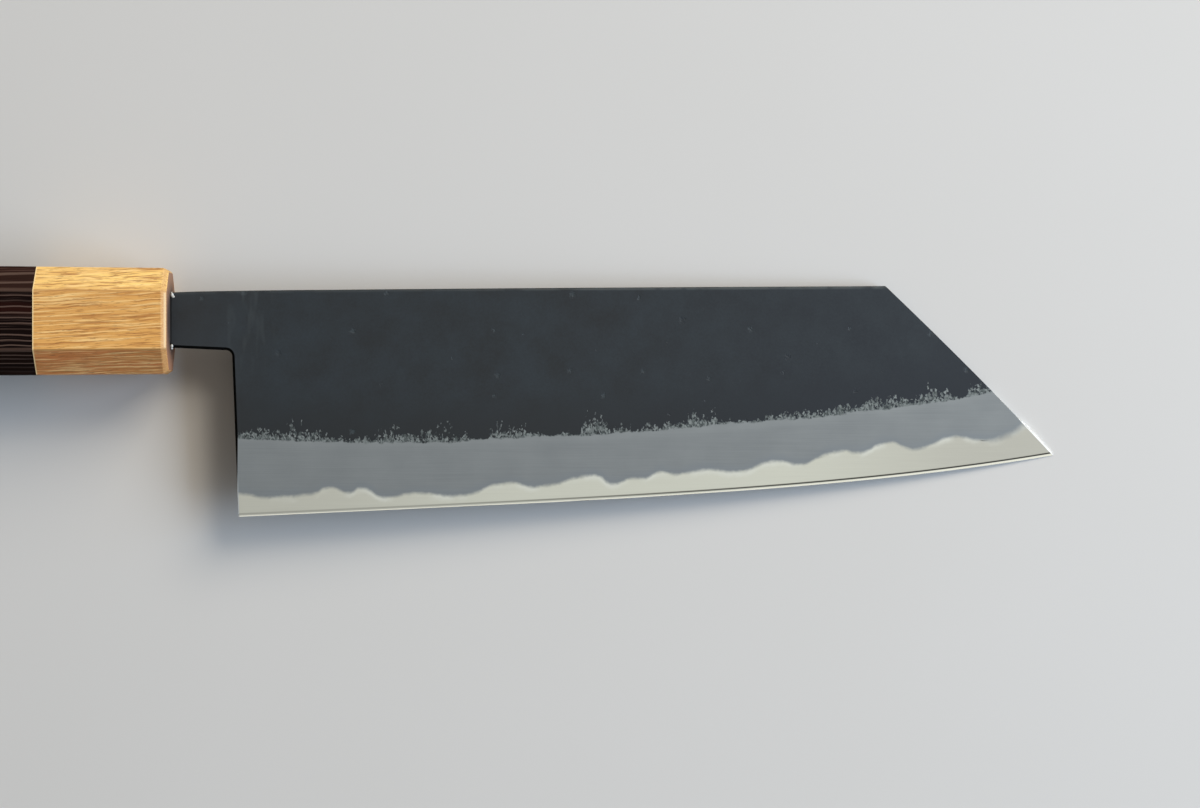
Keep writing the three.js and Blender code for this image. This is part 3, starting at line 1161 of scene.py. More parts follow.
@dataclass(frozen=True)
class OiledWood:
    """Wood planed, sanded and oiled: grain that wanders along the handle, and darker end grain.

    Attributes:
        name: Material name.
        base: Colour between the grain lines on the broad flats.
        sapwood: Colour of the facets towards the spine, with the light that they catch painted in.
        lower_facet_painted_light: Colour of the facets towards the edge, with the shade that they get
            painted in.
        arris: Colour of a line along the arrises between them.
        arris_mm: Half the width of that line.
        layers: Kinds of grain lines, from the broadest to the finest.
        ring_tilt: Turn of the growth rings about the grain, in degrees.
        grain_slope: Slope of the grain against the handle, in degrees.
        waviness_mm: How far the grain wanders.
        wave_length_mm: Over what length it wanders.
        ends: Faces cut across the grain, and strips of painted shade and highlight.
        roughness: Roughness of the oiled surface.
        pore_roughness: How much rougher the sunk grain lines are.
        pore_relief: Relief levels of the lowest and the highest wood.
        end_roughness: Roughness of the cut faces.
        gloss: Specular level of the oil.
        relief_mm: Depth of the relief.
        fibres_per_mm: Fineness of the relief between the grain lines.
        arris_height_mm: Height of the broad flat's arris above the axis, at the ferrule's front.
        arris_widening: How much higher that arris lies for each millimetre towards the butt.
        arris_amount: How strongly the arris line covers the grain.
        facet_fade_mm: How far from the arris one facet's colour turns into the next.
    """

    name: str
    base: str
    sapwood: str
    lower_facet_painted_light: str
    arris: str
    arris_mm: float
    layers: tuple[GrainLayer, ...]
    ring_tilt: float
    grain_slope: float
    waviness_mm: float = 0.4
    wave_length_mm: float = 8.0
    ends: tuple[CutEndOrPaintedStrip, ...] = ()
    roughness: float = 0.5
    pore_roughness: float = 0.15
    pore_relief: tuple[float, float] = (-0.5, 0.6)
    end_roughness: float = 0.75
    gloss: float = 0.4
    relief_mm: float = 0.03
    fibres_per_mm: float = 3.0
    arris_height_mm: float = 6.2
    arris_widening: float = 1.1 / 135
    arris_amount: float = 0.8
    facet_fade_mm: Ramp = Ramp(-0.15, 0.15)

    def material(self, knife: KnifeFrame) -> bpy.types.Material:
        """Builds the node material.

        Args:
            knife: The knife's frame.

        Returns:
            The material.
        """
        material, sheet = new_material(self.name)
        place = knife_place(sheet, knife)
        bent = self._wandered(sheet, place)
        y, past_arris = self._past_arris(sheet, place)
        colour = self._ground(sheet, y, past_arris)
        relief = sheet.add(Node.NOISE, place, scale=self.fibres_per_mm)
        for layer in self.layers:
            mask = self._lines(sheet, bent, layer)
            amount = sheet.add(Node.MULTIPLY, mask, layer.amount)
            colour = sheet.add(Node.MIX_COLOUR, amount, colour, layer.colour)
            relief = sheet.add(Node.MULTIPLY_ADD, mask, -layer.relief, relief)
        line = sheet.add(Node.ABSOLUTE, past_arris)
        line = sheet.add(Node.RAMP, line, self.arris_mm, self.arris_mm / 3, 0.0, self.arris_amount)
        colour = sheet.add(Node.MIX_COLOUR, line, colour, self.arris)
        roughest = self.roughness + self.pore_roughness
        roughness = sheet.add(Node.LINEAR, relief, *self.pore_relief, roughest, self.roughness)
        colour, roughness = self._cut_ends(sheet, place, colour, roughness)
        surface = Surface(colour, 0.0, roughness, relief)
        close_material(sheet, surface, self.relief_mm, specular_ior_level=self.gloss)
        return material

    def _wandered(self, sheet: NodeSheet, place: Socket) -> Socket:
        """Adds the wander of the grain, which stays in the surface so that lines run on unbroken.

        Args:
            sheet: Node sheet of the material.
            place: Position in the knife's frame.

        Returns:
            The position, moved by the wander.
        """
        drift = sheet.add(Node.DRIFT, place, scale=1 / self.wave_length_mm, detail=2.0, take="Color")
        drift = sheet.add(Node.VECTOR_MULTIPLY, drift, (0.0, self.waviness_mm, self.waviness_mm))
        normal = sheet.add(Node.COORDINATES, take="Normal")
        outward = sheet.add(Node.VECTOR_PROJECT, drift, normal)
        drift = sheet.add(Node.VECTOR_SUBTRACT, drift, outward)
        return sheet.add(Node.VECTOR_ADD, place, drift)

    def _past_arris(self, sheet: NodeSheet, place: Socket) -> tuple[Socket, Socket]:
        """Adds the place against the arris of the broad flat.

        Args:
            sheet: Node sheet of the material.
            place: Position in the knife's frame.

        Returns:
            Height on the handle, and how far past the arris it is, in millimetres.
        """
        x = sheet.add(Node.SPLIT_XYZ, place)
        y = x.node.outputs["Y"]
        arris = sheet.add(Node.MULTIPLY_ADD, x, -self.arris_widening, self.arris_height_mm)
        height = sheet.add(Node.ABSOLUTE, y)
        return y, sheet.add(Node.SUBTRACT, height, arris)

    def _ground(self, sheet: NodeSheet, y: Socket, past_arris: Socket) -> Socket:
        """Adds the colour under the grain lines, with painted light on the upper facets and painted shade on
        the lower ones.

        Args:
            sheet: Node sheet of the material.
            y: Height on the handle.
            past_arris: Distance past the arris of the broad flat.

        Returns:
            The colour.
        """
        # Painted light and shade: the facets above and below the flats take their own colours
        upper = sheet.add(Node.GREATER_THAN, y, 0.0)
        facet = sheet.add(Node.MIX_COLOUR, upper, self.lower_facet_painted_light, self.sapwood)
        turned = sheet.add(Node.RAMP, past_arris, *self.facet_fade_mm)
        return sheet.add(Node.MIX_COLOUR, turned, self.base, facet)

    def _lines(self, sheet: NodeSheet, bent: Socket, layer: GrainLayer) -> Socket:
        """Adds one kind of grain line.

        Args:
            sheet: Node sheet of the material.
            bent: Position, moved by the wander of the grain.
            layer: Kind of grain line.

        Returns:
            1 on a line and 0 beside it.
        """
        # At this scale one wave of the bands is one unit long
        one_wave = math.pi / 10
        turn = (math.radians(self.ring_tilt), 0, math.radians(self.grain_slope))
        grain = sheet.add(Node.STRETCH, bent, rotation=turn, scale=layer.size_mm)
        if layer.pattern is GrainPattern.EVENLY_SPACED:
            wander = {"distortion": 2.2, "detail": 2.0, "detail_scale": 1.2}
            lines = sheet.add(Node.BANDS, grain, scale=one_wave, take="Fac", **wander)
        else:
            lines = sheet.add(Node.NOISE, grain, scale=1.0, detail=2.0, roughness=0.55)
        return sheet.add(Node.RAMP, lines, *layer.shows)

    def _cut_ends(
        self, sheet: NodeSheet, place: Socket, colour: Socket, roughness: Socket
    ) -> tuple[Socket, Socket]:
        """Adds the faces that are cut across the grain, and the strips of painted shade and highlight.

        Args:
            sheet: Node sheet of the material.
            place: Position in the knife's frame.
            colour: Colour of the wood.
            roughness: Roughness of the wood.

        Returns:
            Colour and roughness of the wood with its cut faces.
        """
        x = sheet.add(Node.SPLIT_XYZ, place)
        across = sheet.add(Node.VECTOR_MULTIPLY, place, (0, 1, 1))
        from_axis = {
            Spread.ACROSS: sheet.add(Node.ABSOLUTE, x.node.outputs["Y"]),
            Spread.ROUND: sheet.add(Node.VECTOR_LENGTH, across),
        }
        for end in self.ends:
            off = distance(sheet, x, end.x_mm)
            cut = sheet.add(Node.RAMP, off, end.reach_mm, end.reach_mm / 5, 0.0, end.amount)
            outer, inner = end.half_height_mm + end.fade_mm, end.half_height_mm - end.fade_mm
            within = sheet.add(Node.RAMP, from_axis[end.spread], outer, inner)
            cut = sheet.add(Node.MULTIPLY, cut, within)
            colour = sheet.add(Node.MIX_COLOUR, cut, colour, end.colour)
            roughness = sheet.add(Node.MIX_VALUE, cut, roughness, self.end_roughness)
        return colour, roughness


@dataclass(frozen=True)
class CuredEpoxy:
    """Filled epoxy, pressed out and cured: a glossy resin with faint clouds, drawn pale partly in its own
    milky colour and partly as a painted highlight.
    """

    # Pale resin: partly the glue's colour, partly a painted highlight of its gloss
    resin: str = "#BDBDB8"
    cloud: str = "#A3A19A"
    cloud_mm: float = 0.5
    roughness: float = 0.15
    roughness_spread: float = 0.15
    relief_mm: float = 0.03
    ior: float = 1.55

    def material(self, knife: KnifeFrame) -> bpy.types.Material:
        """Builds the node material.

        Args:
            knife: The knife's frame.

        Returns:
            The material.
        """
        material, sheet = new_material("epoxy_cured_milky")
        place = knife_place(sheet, knife)
        clouds = sheet.add(Node.NOISE, place, scale=1 / self.cloud_mm, detail=3.0)
        colour = sheet.add(Node.MIX_COLOUR, clouds, self.resin, self.cloud)
        roughness = sheet.add(Node.MULTIPLY_ADD, clouds, self.roughness_spread, self.roughness)
        close_material(sheet, Surface(colour, 0.0, roughness, clouds), self.relief_mm, ior=self.ior)
        return material


@dataclass(frozen=True)
class PaleTable:
    """Plain pale table top, matt, with the faintest clouding."""

    pale: str = "#D0D0CF"
    cloud: str = "#CDCDCB"
    cloud_mm: float = 90.0
    roughness: float = 0.8
    gloss: float = 0.2

    def material(self) -> bpy.types.Material:
        """Builds the node material.

        Returns:
            The material.
        """
        material, sheet = new_material("table_top_matt_pale")
        point = sheet.add(Node.COORDINATES, take="Object")
        clouds = sheet.add(Node.NOISE, point, scale=1 / (self.cloud_mm * MM), detail=3.0)
        colour = sheet.add(Node.MIX_COLOUR, clouds, self.pale, self.cloud)
        shader = sheet.add(
            Node.PRINCIPLED, base_color=colour, roughness=self.roughness, specular_ior_level=self.gloss
        )
        sheet.add(Node.MATERIAL_OUTPUT, shader)
        return material


def activate(piece: bpy.types.Object) -> None:
    """Makes a piece the only selected and active object.

    Args:
        piece: The piece.
    """
    bpy.ops.object.select_all(action="DESELECT")
    piece.select_set(True)
    bpy.context.view_layer.objects.active = piece


def open_for_editing(piece: bpy.types.Object) -> None:
    """Enters edit mode with all of a piece selected.

    Args:
        piece: The piece.
    """
    activate(piece)
    bpy.ops.object.mode_set(mode="EDIT")
    bpy.ops.mesh.select_all(action="SELECT")


def copy_of_node(node: CadNode, name: str) -> bpy.types.Object:
    """Copies a CAD node's mesh into a new piece and joins its loose triangles along their edges.

    Args:
        node: The CAD node.
        name: Name of the new piece.

    Returns:
        The new piece, with no material.
    """
    weld_distance = 1e-7
    mesh = frame["nodes"][node.value].data.copy()
    mesh.name = name
    mesh.materials.clear()
    piece = bpy.data.objects.new(name, mesh)
    bpy.context.scene.collection.objects.link(piece)
    activate(piece)
    bpy.ops.mesh.customdata_custom_splitnormals_clear()
    open_for_editing(piece)
    bpy.ops.mesh.remove_doubles(threshold=weld_distance)
    bpy.ops.object.mode_set(mode="OBJECT")
    return piece


def make_whole_faces(piece: bpy.types.Object) -> None:
    """Turns the triangles of each level stretch into one face, and drops slivers.

    Args:
        piece: The piece.
    """
    same_plane, sliver = math.radians(0.3), 2e-6
    open_for_editing(piece)
    bpy.ops.mesh.dissolve_degenerate(threshold=sliver)
    bpy.ops.mesh.dissolve_limited(angle_limit=same_plane)
    bpy.ops.object.mode_set(mode="OBJECT")


def pick_edges(piece: bpy.types.Object, chosen: EdgeRule) -> int:
    """Enters edit mode with only the edges selected that a rule picks.

    Args:
        piece: The piece.
        chosen: Rule that says whether an edge is picked.

    Returns:
        How many edges were picked.
    """
    activate(piece)
    bpy.ops.object.mode_set(mode="EDIT")
    bpy.ops.mesh.select_mode(type="EDGE")
    bpy.ops.mesh.select_all(action="DESELECT")
    edit = bmesh.from_edit_mesh(piece.data)
    picked = [edge for edge in edit.edges if len(edge.link_faces) == 2 and chosen(edge)]
    for edge in picked:
        edge.select = True
    bmesh.update_edit_mesh(piece.data)
    return len(picked)


def ease_edges(
    piece: bpy.types.Object, chosen: EdgeRule, width: float, segments: int, material_place: int = -1
) -> None:
    """Rounds the edges that a rule picks.

    Args:
        piece: The piece.
        chosen: Rule that says whether an edge is rounded.
        width: Width of the rounding, in metres.
        segments: Number of strips in the rounding.
        material_place: Place of its material in the piece's list, or -1 for that of the neighbours.
    """
    count = pick_edges(piece, chosen)
    if count:
        bpy.ops.mesh.bevel(
            offset=width,
            segments=segments,
            profile=0.5,
            affect="EDGES",
            clamp_overlap=False,
            loop_slide=False,
            material=material_place,
        )
    bpy.ops.object.mode_set(mode="OBJECT")
    log.info("%s: %d edges eased by %.2f mm", piece.name, count, width / MM)


def shade_crisply(piece: bpy.types.Object, sharp_angle: float) -> None:
    """Keeps ground and planed faces flat in shade, and runs the shade only round their eased edges.

    Args:
        piece: The piece.
        sharp_angle: Edges of the faces sharper than this stay crisp, in degrees.
    """
    eased_from, eased_to = math.radians(10), math.radians(40)
    activate(piece)
    bpy.ops.object.shade_smooth_by_angle(angle=math.radians(sharp_angle))
    pick_edges(piece, lambda edge: eased_from < edge.calc_face_angle() < eased_to)
    bpy.ops.mesh.mark_sharp(clear=True)
    bpy.ops.object.mode_set(mode="OBJECT")
    weighted = piece.modifiers.new("face_weighted_normals", "WEIGHTED_NORMAL")
    weighted.keep_sharp = True
    bpy.ops.object.modifier_apply(modifier=weighted.name)


def settle(piece: bpy.types.Object, slot: Slot, *replaced: CadNode) -> None:
    """Attaches a finished piece to its body and hides the CAD nodes that it stands for.

    Args:
        piece: The finished piece, with its materials.
        slot: The record's material slot; not used.
        replaced: CAD nodes that are no longer shown.
    """
    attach(piece, BODY)
    if replaced:
        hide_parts(*[node.value for node in replaced])
    log.info("%s: %d faces", piece.name, len(piece.data.polygons))


@dataclass
class Blade:
    """The forged three-layer blade.

    Attributes:
        knife: The knife's frame.
        lines: The blade's lines.
        neck_start_mm: Where the tang ends and the neck starts.
        choil_chamfer: Chamfer along the underside of the neck, round the choil and down the heel, in metres.
        clip_easing: Rounding of the clipped tip's outline, in metres.
        segments: Strips in the rounding.
        sharp_angle: Edges sharper than this stay crisp, in degrees.
        face_turn: Least share of a broad face's normal along the knife's z.
    """

    knife: KnifeFrame
    lines: BladeLines = BladeLines()
    neck_start_mm: float = 0.4
    choil_chamfer: float = 0.58 * MM
    clip_easing: float = 0.08 * MM
    segments: int = 2
    sharp_angle: float = 1.2
    face_turn: float = 0.9

    def build(self) -> None:
        """Builds and dresses the three layers."""
        # The chamfer under neck and heel takes painted shade
        choil_shade = ChoilShadeBlack().material(self.knife)
        core = copy_of_node(CadNode.CORE, "hard_steel_core")
        claddings = {BladeFace.FRONT: CadNode.FRONT_CLADDING, BladeFace.BACK: CadNode.BACK_CLADDING}
        for face, node in claddings.items():
            cladding = copy_of_node(node, f"{face.name.lower()}_iron_cladding")
            cladding.data.materials.append(ForgeBlackIron().material(self.knife, self.lines, face))
            cladding.data.materials.append(choil_shade)
            self._close_weld(cladding, face)
            make_whole_faces(cladding)
            choil, clip = (self._outline(face, towards_spine) for towards_spine in (False, True))
            ease_edges(cladding, choil, self.choil_chamfer, segments=1, material_place=1)
            ease_edges(cladding, clip, self.clip_easing, self.segments)
            shade_crisply(cladding, self.sharp_angle)
            settle(cladding, Slot.CLADDING, node)
        make_whole_faces(core)
        shade_crisply(core, self.sharp_angle)
        core.data.materials.append(HonedCarbonSteel().material(self.knife, self.lines, BladeFace.FRONT))
        settle(core, Slot.CORE, CadNode.CORE)

    def _close_weld(self, cladding: bpy.types.Object, face: BladeFace) -> None:
        """Draws the cladding's feather edge down onto the core, so that the ground bevel runs on unbroken.

        Args:
            cladding: Cladding of one face.
            face: That face of the blade.
        """

        def feather(edge: bmesh.types.BMEdge) -> bool:
            """Picks an edge between the outer face and the weld."""
            first, second = (self.knife.direction(f.normal).z for f in edge.link_faces)
            return min(abs(first), abs(second)) > self.face_turn and first * second < 0

        guide = self._weld_guide(face)
        group = cladding.vertex_groups.new(name="feather_edge")
        count = pick_edges(cladding, feather)
        bpy.ops.object.vertex_group_assign()
        bpy.ops.object.mode_set(mode="OBJECT")
        drawn = cladding.modifiers.new("weld_closed", "SHRINKWRAP")
        drawn.wrap_method = "NEAREST_VERTEX"
        drawn.target = guide
        drawn.vertex_group = group.name
        bpy.ops.object.modifier_apply(modifier=drawn.name)
        cladding.vertex_groups.clear()
        bpy.data.meshes.remove(guide.data)
        log.info("%s: %d feather edges closed onto the core", cladding.name, count)

    def _weld_guide(self, face: BladeFace) -> bpy.types.Object:
        """Copies the core without its far side, for the feather edge of one face to be drawn to.

        Args:
            face: Face of the blade that stays.

        Returns:
            The guide, which goes when the weld is closed.
        """
        least_depth = 0.05
        to_knife = self.knife.to_knife()

        def far_side(edge: bmesh.types.BMEdge) -> bool:
            """Picks an edge that lies on the edge line or behind it."""
            return all((to_knife @ vert.co).z * face.value < least_depth for vert in edge.verts)

        guide = copy_of_node(CadNode.CORE, "weld_guide")
        pick_edges(guide, far_side)
        bpy.ops.mesh.delete(type="VERT")
        bpy.ops.object.mode_set(mode="OBJECT")
        return guide

    def _outline(self, face: BladeFace, towards_spine: bool) -> EdgeRule:
        """Makes the rule that picks the outline of a blackened flat.

        Args:
            face: Face of the blade.
            towards_spine: Whether it picks the sides towards spine and tip, or those of neck and heel.

        Returns:
            The rule.
        """
        side_turn, bevel_lean = 0.3, -0.03
        to_knife = self.knife.to_knife()

        def rule(edge: bmesh.types.BMEdge) -> bool:
            """Says whether an edge lies between a broad face and a side, but not on the tang.

            Args:
                edge: The edge.

            Returns:
                Whether it is picked.
            """
            normals = [self.knife.direction(f.normal) for f in edge.link_faces]
            side, broad = sorted(normals, key=lambda normal: abs(normal.z))
            is_flat = broad.z * face.value > self.face_turn and broad.y > bevel_lean
            is_rim = is_flat and abs(side.z) < side_turn and (side.x + side.y > 0) == towards_spine
            return is_rim and max((to_knife @ vert.co).x for vert in edge.verts) > self.neck_start_mm

        return rule


@dataclass
class Handle:
    """The octagonal two-wood handle with its dowel.

    Attributes:
        knife: The knife's frame.
        arris_easing: Rounding of the octagon's arrises, in metres.
        inside_mm: Edges nearer to the axis than this belong to the socket.
        joint_mm: Place of the joint between ferrule and body.
        butt_mm: Place of the butt face.
        segments: Strips in each rounding.
        sharp_angle: Edges sharper than this stay crisp, in degrees.
    """

    knife: KnifeFrame
    arris_easing: float = 0.25 * MM
    inside_mm: float = 7.0
    joint_mm: float = -28.5
    butt_mm: float = -135.0
    segments: int = 3
    sharp_angle: float = 35

    def build(self) -> None:
        """Builds and dresses ferrule, body and dowel."""
        ferrule = self._eased(CadNode.FERRULE, "ferrule_block")
        ferrule.data.materials.append(self._ferrule_wood().material(self.knife))
        settle(ferrule, Slot.FERRULE, CadNode.FERRULE)
        body = self._eased(CadNode.HANDLE_BODY, "handle_octagon")
        body.data.materials.append(self._body_wood().material(self.knife))
        settle(body, Slot.HANDLE, CadNode.HANDLE_BODY)
        dowel = frame["nodes"][CadNode.DOWEL.value]
        dowel.data.materials.clear()
        dowel.data.materials.append(self._dowel_wood().material(self.knife))
        log.info("%s: dressed as it is", dowel.name)

    def _eased(self, node: CadNode, name: str) -> bpy.types.Object:
        """Copies a wooden block and rounds its outer arrises, but not those at the glued joint.

        Args:
            node: The block's CAD node.
            name: Name of the new piece.

        Returns:
            The new piece, with no material.
        """
        joint_reach, least_angle = 0.2, math.radians(20)
        to_knife = self.knife.to_knife()

        def arris(edge: bmesh.types.BMEdge) -> bool:
            """Says whether an edge is an outer arris away from the joint.

            Args:
                edge: The edge.

            Returns:
                Whether it is picked.
            """
            middle = to_knife @ ((edge.verts[0].co + edge.verts[1].co) / 2)
            outside = math.hypot(middle.y, middle.z) > self.inside_mm
            at_joint = abs(middle.x - self.joint_mm) < joint_reach
            return outside and not at_joint and edge.calc_face_angle() > least_angle

        piece = copy_of_node(node, name)
        make_whole_faces(piece)
        ease_edges(piece, arris, self.arris_easing, self.segments)
        shade_crisply(piece, self.sharp_angle)
        return piece

    def _ferrule_wood(self) -> OiledWood:
        """Gives the pale ring-porous oak of the ferrule.

        Returns:
            The finish.
        """
        return OiledWood(
            name="oak_sanded_oiled",
            base="#DBA358",
            sapwood="#F6CF7C",
            lower_facet_painted_light="#C87B41",
            arris="#B08046",
            arris_mm=0.28,
            layers=(
                GrainLayer("#CB9450", (60.0, 2.6, 8.0), Ramp(0.40, 0.64), 0.45),
                GrainLayer("#B5793C", (60.0, 1.0, 1.0), Ramp(0.46, 0.66), 0.4),
                GrainLayer("#F8D592", (14.0, 0.34, 0.5), Ramp(0.49, 0.64), 0.65),
                GrainLayer("#A46B31", (13.0, 0.30, 0.45), Ramp(0.52, 0.64), 0.8, 0.4),
                GrainLayer("#8A5827", (2.4, 0.19, 0.35), Ramp(0.56, 0.66), 0.6, 0.8),
            ),
            ring_tilt=15.0,
            grain_slope=3.0,
            waviness_mm=0.3,
            ends=(
                # Painted shade that dims the front chamfer
                CutEndOrPaintedStrip(-0.6, "#A07744", 1.0, amount=0.7),
                # Front end grain, darker partly in its own colour and partly as painted shade
                CutEndOrPaintedStrip(0.0, "#704C38"),
                # Painted shade of the joint's gap round the tang's slot, spread into a round patch
                CutEndOrPaintedStrip(0.0, "#160B09", half_height_mm=7.5, fade_mm=3.0, spread=Spread.ROUND),
                # Painted highlight on the broad flat's front chamfer
                CutEndOrPaintedStrip(-0.35, "#C4A980", 0.35, half_height_mm=6.0),
                CutEndOrPaintedStrip(self.joint_mm, "#F2D79F", 0.35),
            ),
            roughness=0.34,
            gloss=0.5,
        )

    def _body_wood(self) -> OiledWood:
        """Gives the near-black wenge of the handle body, with its even pale lines.

        Returns:
            The finish.
        """
        return OiledWood(
            name="wenge_sanded_oiled",
            base="#0D0605",
            sapwood="#281813",
            lower_facet_painted_light="#180C07",
            arris="#4C3B33",
            arris_mm=0.6,
            layers=(
                GrainLayer("#2E130D", (90.0, 3.5, 9.0), Ramp(0.48, 0.7), 0.5),
                GrainLayer(
                    "#594840", (160.0, 1.12, 1.12), Ramp(0.76, 0.98), 0.85, 0.3, GrainPattern.EVENLY_SPACED
                ),
                GrainLayer("#0D0504", (40.0, 0.8, 2.4), Ramp(0.50, 0.64), 0.75),
                GrainLayer("#5A463F", (24.0, 0.22, 0.6), Ramp(0.60, 0.70), 0.45, 0.5),
            ),
            ring_tilt=20.0,
            grain_slope=0.4,
            waviness_mm=0.2,
            ends=(CutEndOrPaintedStrip(self.butt_mm, "#120B09"),),
            roughness=0.5,
            gloss=0.03,
        )

    @staticmethod
    def _dowel_wood() -> OiledWood:
        """Gives the plain beech of the hidden dowel.

        Returns:
            The finish.
        """
        return OiledWood(
            name="beech_turned",
            base="#C9A473",
            sapwood="#CDAA7B",
            lower_facet_painted_light="#C49D6A",
            arris="#C49D6A",
            arris_mm=0.3,
            layers=(
                GrainLayer("#BC9460", (60.0, 2.0, 8.0), Ramp(0.4, 0.65), 0.7),
                GrainLayer("#96703F", (3.0, 0.25, 0.25), Ramp(0.58, 0.72), 0.6, 0.6),
            ),
            ring_tilt=10.0,
            grain_slope=1.0,
            roughness=0.65,
            gloss=0.3,
        )


@dataclass(frozen=True)
class Lump:
    """A lump of squeezed-out adhesive.

    Attributes:
        centre: Its middle, in knife millimetres.
        radii: Its half sizes along x, y and z, in millimetres.
    """

    centre: tuple[float, float, float]
    radii: tuple[float, float, float]


@dataclass
class NeckJoint:
    """Adhesive between tang and handle, with what was squeezed out at the neck's corners.

    Attributes:
        knife: The knife's frame.
        sunk_mm: How far the bedding stays behind the ferrule's face.
        lumps: Lumps at the neck's corners.
        voxel: Fineness of the joined surface, in metres.
        softening: How many times that surface is smoothed.
    """

    knife: KnifeFrame
    sunk_mm: float = 0.6
    lumps: tuple[Lump, ...] = (
        Lump((0.4, 5.75, 1.7), (0.36, 0.5, 0.28)),
        Lump((0.65, 5.35, 1.8), (0.4, 0.28, 0.16)),
        Lump((0.25, 6.2, 0.7), (0.3, 0.25, 1.0)),
        Lump((0.35, -5.4, 1.7), (0.32, 0.4, 0.28)),
        Lump((0.25, -5.9, 0.9), (0.3, 0.3, 0.9)),
        Lump((0.4, 5.4, -1.7), (0.4, 0.8, 0.28)),
        Lump((0.4, -4.6, -1.7), (0.35, 0.8, 0.28)),
    )
    voxel: float = 0.07 * MM
    softening: int = 6

    def build(self) -> None:
        """Builds and dresses the sunk bedding and the squeezed-out bead."""
        resin = CuredEpoxy().material(self.knife)
        bedding, bead = self._bedding(), self._bead()
        bedding.data.materials.append(resin)
        bead.data.materials.append(resin)
        settle(bedding, Slot.ADHESIVE, CadNode.ADHESIVE)
        settle(bead, Slot.ADHESIVE)

    def _bedding(self) -> bpy.types.Object:
        """Copies the bedding and cuts it off behind the ferrule's face, which leaves the dark joint open.

        Returns:
            The bedding, with no material.
        """
        bedding = copy_of_node(CadNode.ADHESIVE, "tang_bedding")
        cut = self.knife.to_row() @ Vector((-self.sunk_mm, 0, 0))
        towards_tip = Matrix.Rotation(self.knife.pitch, 3, "Y") @ Vector((1, 0, 0))
        open_for_editing(bedding)
        bpy.ops.mesh.bisect(plane_co=cut, plane_no=towards_tip, use_fill=True, clear_outer=True)
        bpy.ops.object.mode_set(mode="OBJECT")
        return bedding

    def _bead(self) -> bpy.types.Object:
        """Models the lumps, joins them and melts them into one skin.

        Returns:
            The bead, with no material.
        """
        made: list[bpy.types.Object] = []
        for lump in self.lumps:
            bpy.ops.object.select_all(action="DESELECT")
            bpy.ops.mesh.primitive_ico_sphere_add(subdivisions=4, radius=1.0, location=(0, 0, 0))
            ball = bpy.context.object
            place = Matrix.Translation(lump.centre) @ Matrix.Diagonal((*lump.radii, 1.0))
            ball.data.transform(self.knife.to_row() @ place)
            made.append(ball)
        for ball in made:
            ball.select_set(True)
        bpy.context.view_layer.objects.active = made[0]
        bpy.ops.object.join()
        bead = bpy.context.object
        bead.name = "neck_adhesive_bead"
        bead.data.name = bead.name
        melt = bead.modifiers.new("melt", "REMESH")
        melt.mode = "VOXEL"
        melt.voxel_size = self.voxel
        bpy.ops.object.modifier_apply(modifier=melt.name)
        soften = bead.modifiers.new("soften", "SMOOTH")
        soften.iterations = self.softening
        bpy.ops.object.modifier_apply(modifier=soften.name)
        bpy.ops.object.shade_smooth()
        return bead


@dataclass(frozen=True)
class Lamp:
    """A soft lamp, set by the share of the table's light that it gives.

    Attributes:
        name: Name of the lamp.
        towards: Direction from the knife to the lamp.
        distance: Distance from the knife, in metres.
        size: Edge length of its square face, in metres.
        share: Part of the light on the table.
        colour: Colour of its light.
    """

    name: str
    towards: tuple[float, float, float]
    distance: float
    size: float
    share: float
    colour: str

    def build(self, target: Vector) -> None:
        """Hangs the lamp and aims it.

        Args:
            target: Point that it lights.
        """
        direction = Vector(self.towards).normalized()
        bpy.ops.object.select_all(action="DESELECT")
        bpy.ops.object.light_add(type="AREA", location=target + direction * self.distance)
        lamp = bpy.context.object
        lamp.name = self.name
        lamp.rotation_euler = direction.to_track_quat("Z", "Y").to_euler()
        lamp.visible_camera = False
        lamp.data.shape = "SQUARE"
        lamp.data.size = self.size
        # The power at which a white table shows that share of white
        lamp.data.energy = self.share * math.pi**2 * self.distance**2 / direction.z
        lamp.data.color = to_linear(self.colour)[:3]


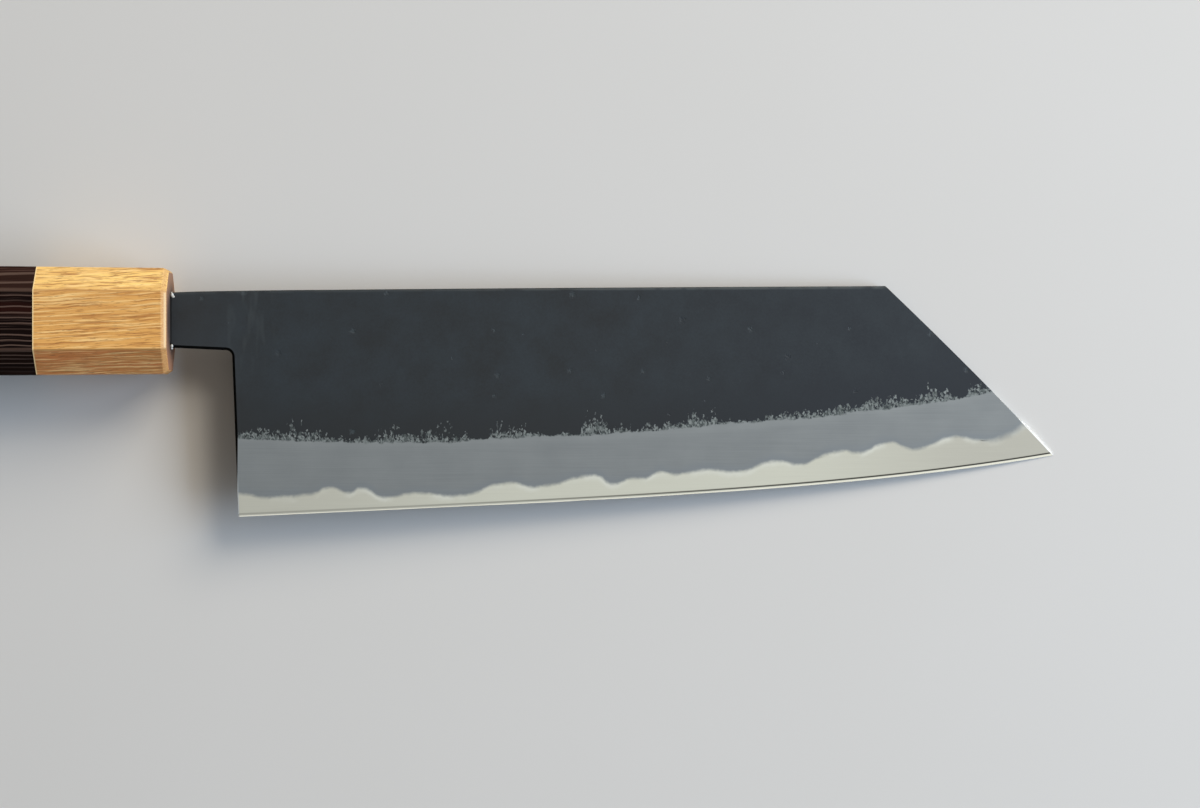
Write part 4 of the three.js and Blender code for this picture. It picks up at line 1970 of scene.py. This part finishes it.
@dataclass
class Studio:
    """Table, soft daylight and the camera over the blade.

    Attributes:
        camera_place: Camera position in the row frame, in metres.
        focal_px: Focal length in pixels of the photograph.
        photo_width_px: Width of the photograph.
        sensor_mm: Width of the camera's sensor.
        nearest: Nearest distance that the camera sees, in metres.
        floor_size: Edge length of the table top, in metres.
        ambient: Strength of the light from all round.
        ambient_lean: Direction in which that light gets stronger, with the gain as its length.
        ambient_colour: Colour of that light.
        backdrop: Colour of the room that the camera and gloss see.
        open_side: Direction towards the room's bright side.
        room_light: How far towards that side the room is dimmest and brightest, and how bright it is there.
        rightward_gain: How much brighter the room is to the right.
        lamps: The lamps.
    """

    camera_place: tuple[float, float, float] = (64.158 * MM, -2.97 * MM, 600 * MM)
    focal_px: float = 2701
    photo_width_px: float = 1200
    sensor_mm: float = 36
    nearest: float = 0.01
    floor_size: float = 6.0
    ambient: float = 0.21
    ambient_lean: tuple[float, float, float] = (0.1, 0.2, 0.0)
    ambient_colour: str = "#FFF4E6"
    backdrop: str = "#F3F5F6"
    open_side: tuple[float, float, float] = (0.8, 0.6, 0.9)
    room_light: Ramp = Ramp(-0.2, 0.8, 0.03, 0.95)
    rightward_gain: float = 0.15
    lamps: tuple[Lamp, ...] = (
        Lamp("window_right", (0.94, -0.06, 0.34), 1.8, 1.29, 0.50, "#D2E7FF"),
        Lamp("window_behind", (0.56, 0.62, 0.52), 1.9, 1.02, 0.49, "#FFF4E4"),
    )

    def build(self) -> None:
        """Builds table, lamps, world and camera."""
        self._table()
        self._world()
        target = (CAD_BOX[0] + CAD_BOX[1]) / 2
        for lamp in self.lamps:
            lamp.build(target)
        self._camera()
        bpy.context.scene.view_settings.view_transform = "Standard"

    def _table(self) -> None:
        """Lays the table top under the knife."""
        bpy.ops.object.select_all(action="DESELECT")
        bpy.ops.mesh.primitive_plane_add(size=self.floor_size, location=(0, 0, CAD_BOX[0].z))
        table = bpy.context.object
        table.name = "table_top"
        table.data.materials.append(PaleTable().material())

    def _world(self) -> None:
        """Fills the room with soft light, and shows gloss a pale room, darker low down at left and front."""
        world = bpy.data.worlds.new("soft_daylight")
        world.use_nodes = True
        world.cycles.sampling_method = "NONE"
        bpy.context.scene.world = world
        add = NodeSheet(world.node_tree).add
        direction = add(Node.COORDINATES, take="Generated")
        lean = add(Node.VECTOR_DOT, direction, self.ambient_lean)
        ambient = add(Node.MULTIPLY_ADD, lean, self.ambient, self.ambient)
        light = add(Node.BACKGROUND, self.ambient_colour, ambient)
        rightward = add(Node.SPLIT_XYZ, direction)
        gain = add(Node.MULTIPLY_ADD, rightward, self.rightward_gain, 1.0)
        openness = add(Node.VECTOR_DOT, direction, self.open_side)
        room = add(Node.RAMP, openness, *self.room_light)
        room = add(Node.MULTIPLY, room, gain)
        camera_ray = add(Node.LIGHT_PATH, take="Is Camera Ray")
        rays = camera_ray.node.outputs
        room = add(Node.MIX_VALUE, camera_ray, room, self.room_light.high)
        shown = add(Node.BACKGROUND, self.backdrop, room)
        seen = add(Node.MAXIMUM, camera_ray, rays["Is Glossy Ray"])
        seen = add(Node.MAXIMUM, seen, rays["Is Transmission Ray"])
        mixed = add(Node.MIX_SHADER, seen, light, shown)
        add(Node.WORLD_OUTPUT, mixed)

    def _camera(self) -> None:
        """Hangs the camera straight above the blade, as the photograph was taken."""
        bpy.ops.object.select_all(action="DESELECT")
        bpy.ops.object.camera_add(location=self.camera_place, rotation=(0, 0, 0))
        camera = bpy.context.object
        camera.name = "photo_camera"
        camera.data.sensor_width = self.sensor_mm
        camera.data.lens = self.sensor_mm * self.focal_px / self.photo_width_px
        camera.data.clip_start = self.nearest
        bpy.context.scene.camera = camera


def main() -> None:
    """Builds the knife's pieces in order, then the studio round them."""
    logging.basicConfig(level=logging.INFO, format="%(name)s %(message)s")
    knife = KnifeFrame.from_record(frame["record"])
    log.info("pitch %.4f degrees", math.degrees(knife.pitch))
    Blade(knife).build()
    Handle(knife).build()
    NeckJoint(knife).build()
    Studio().build()


if __name__ == "__main__":
    main()
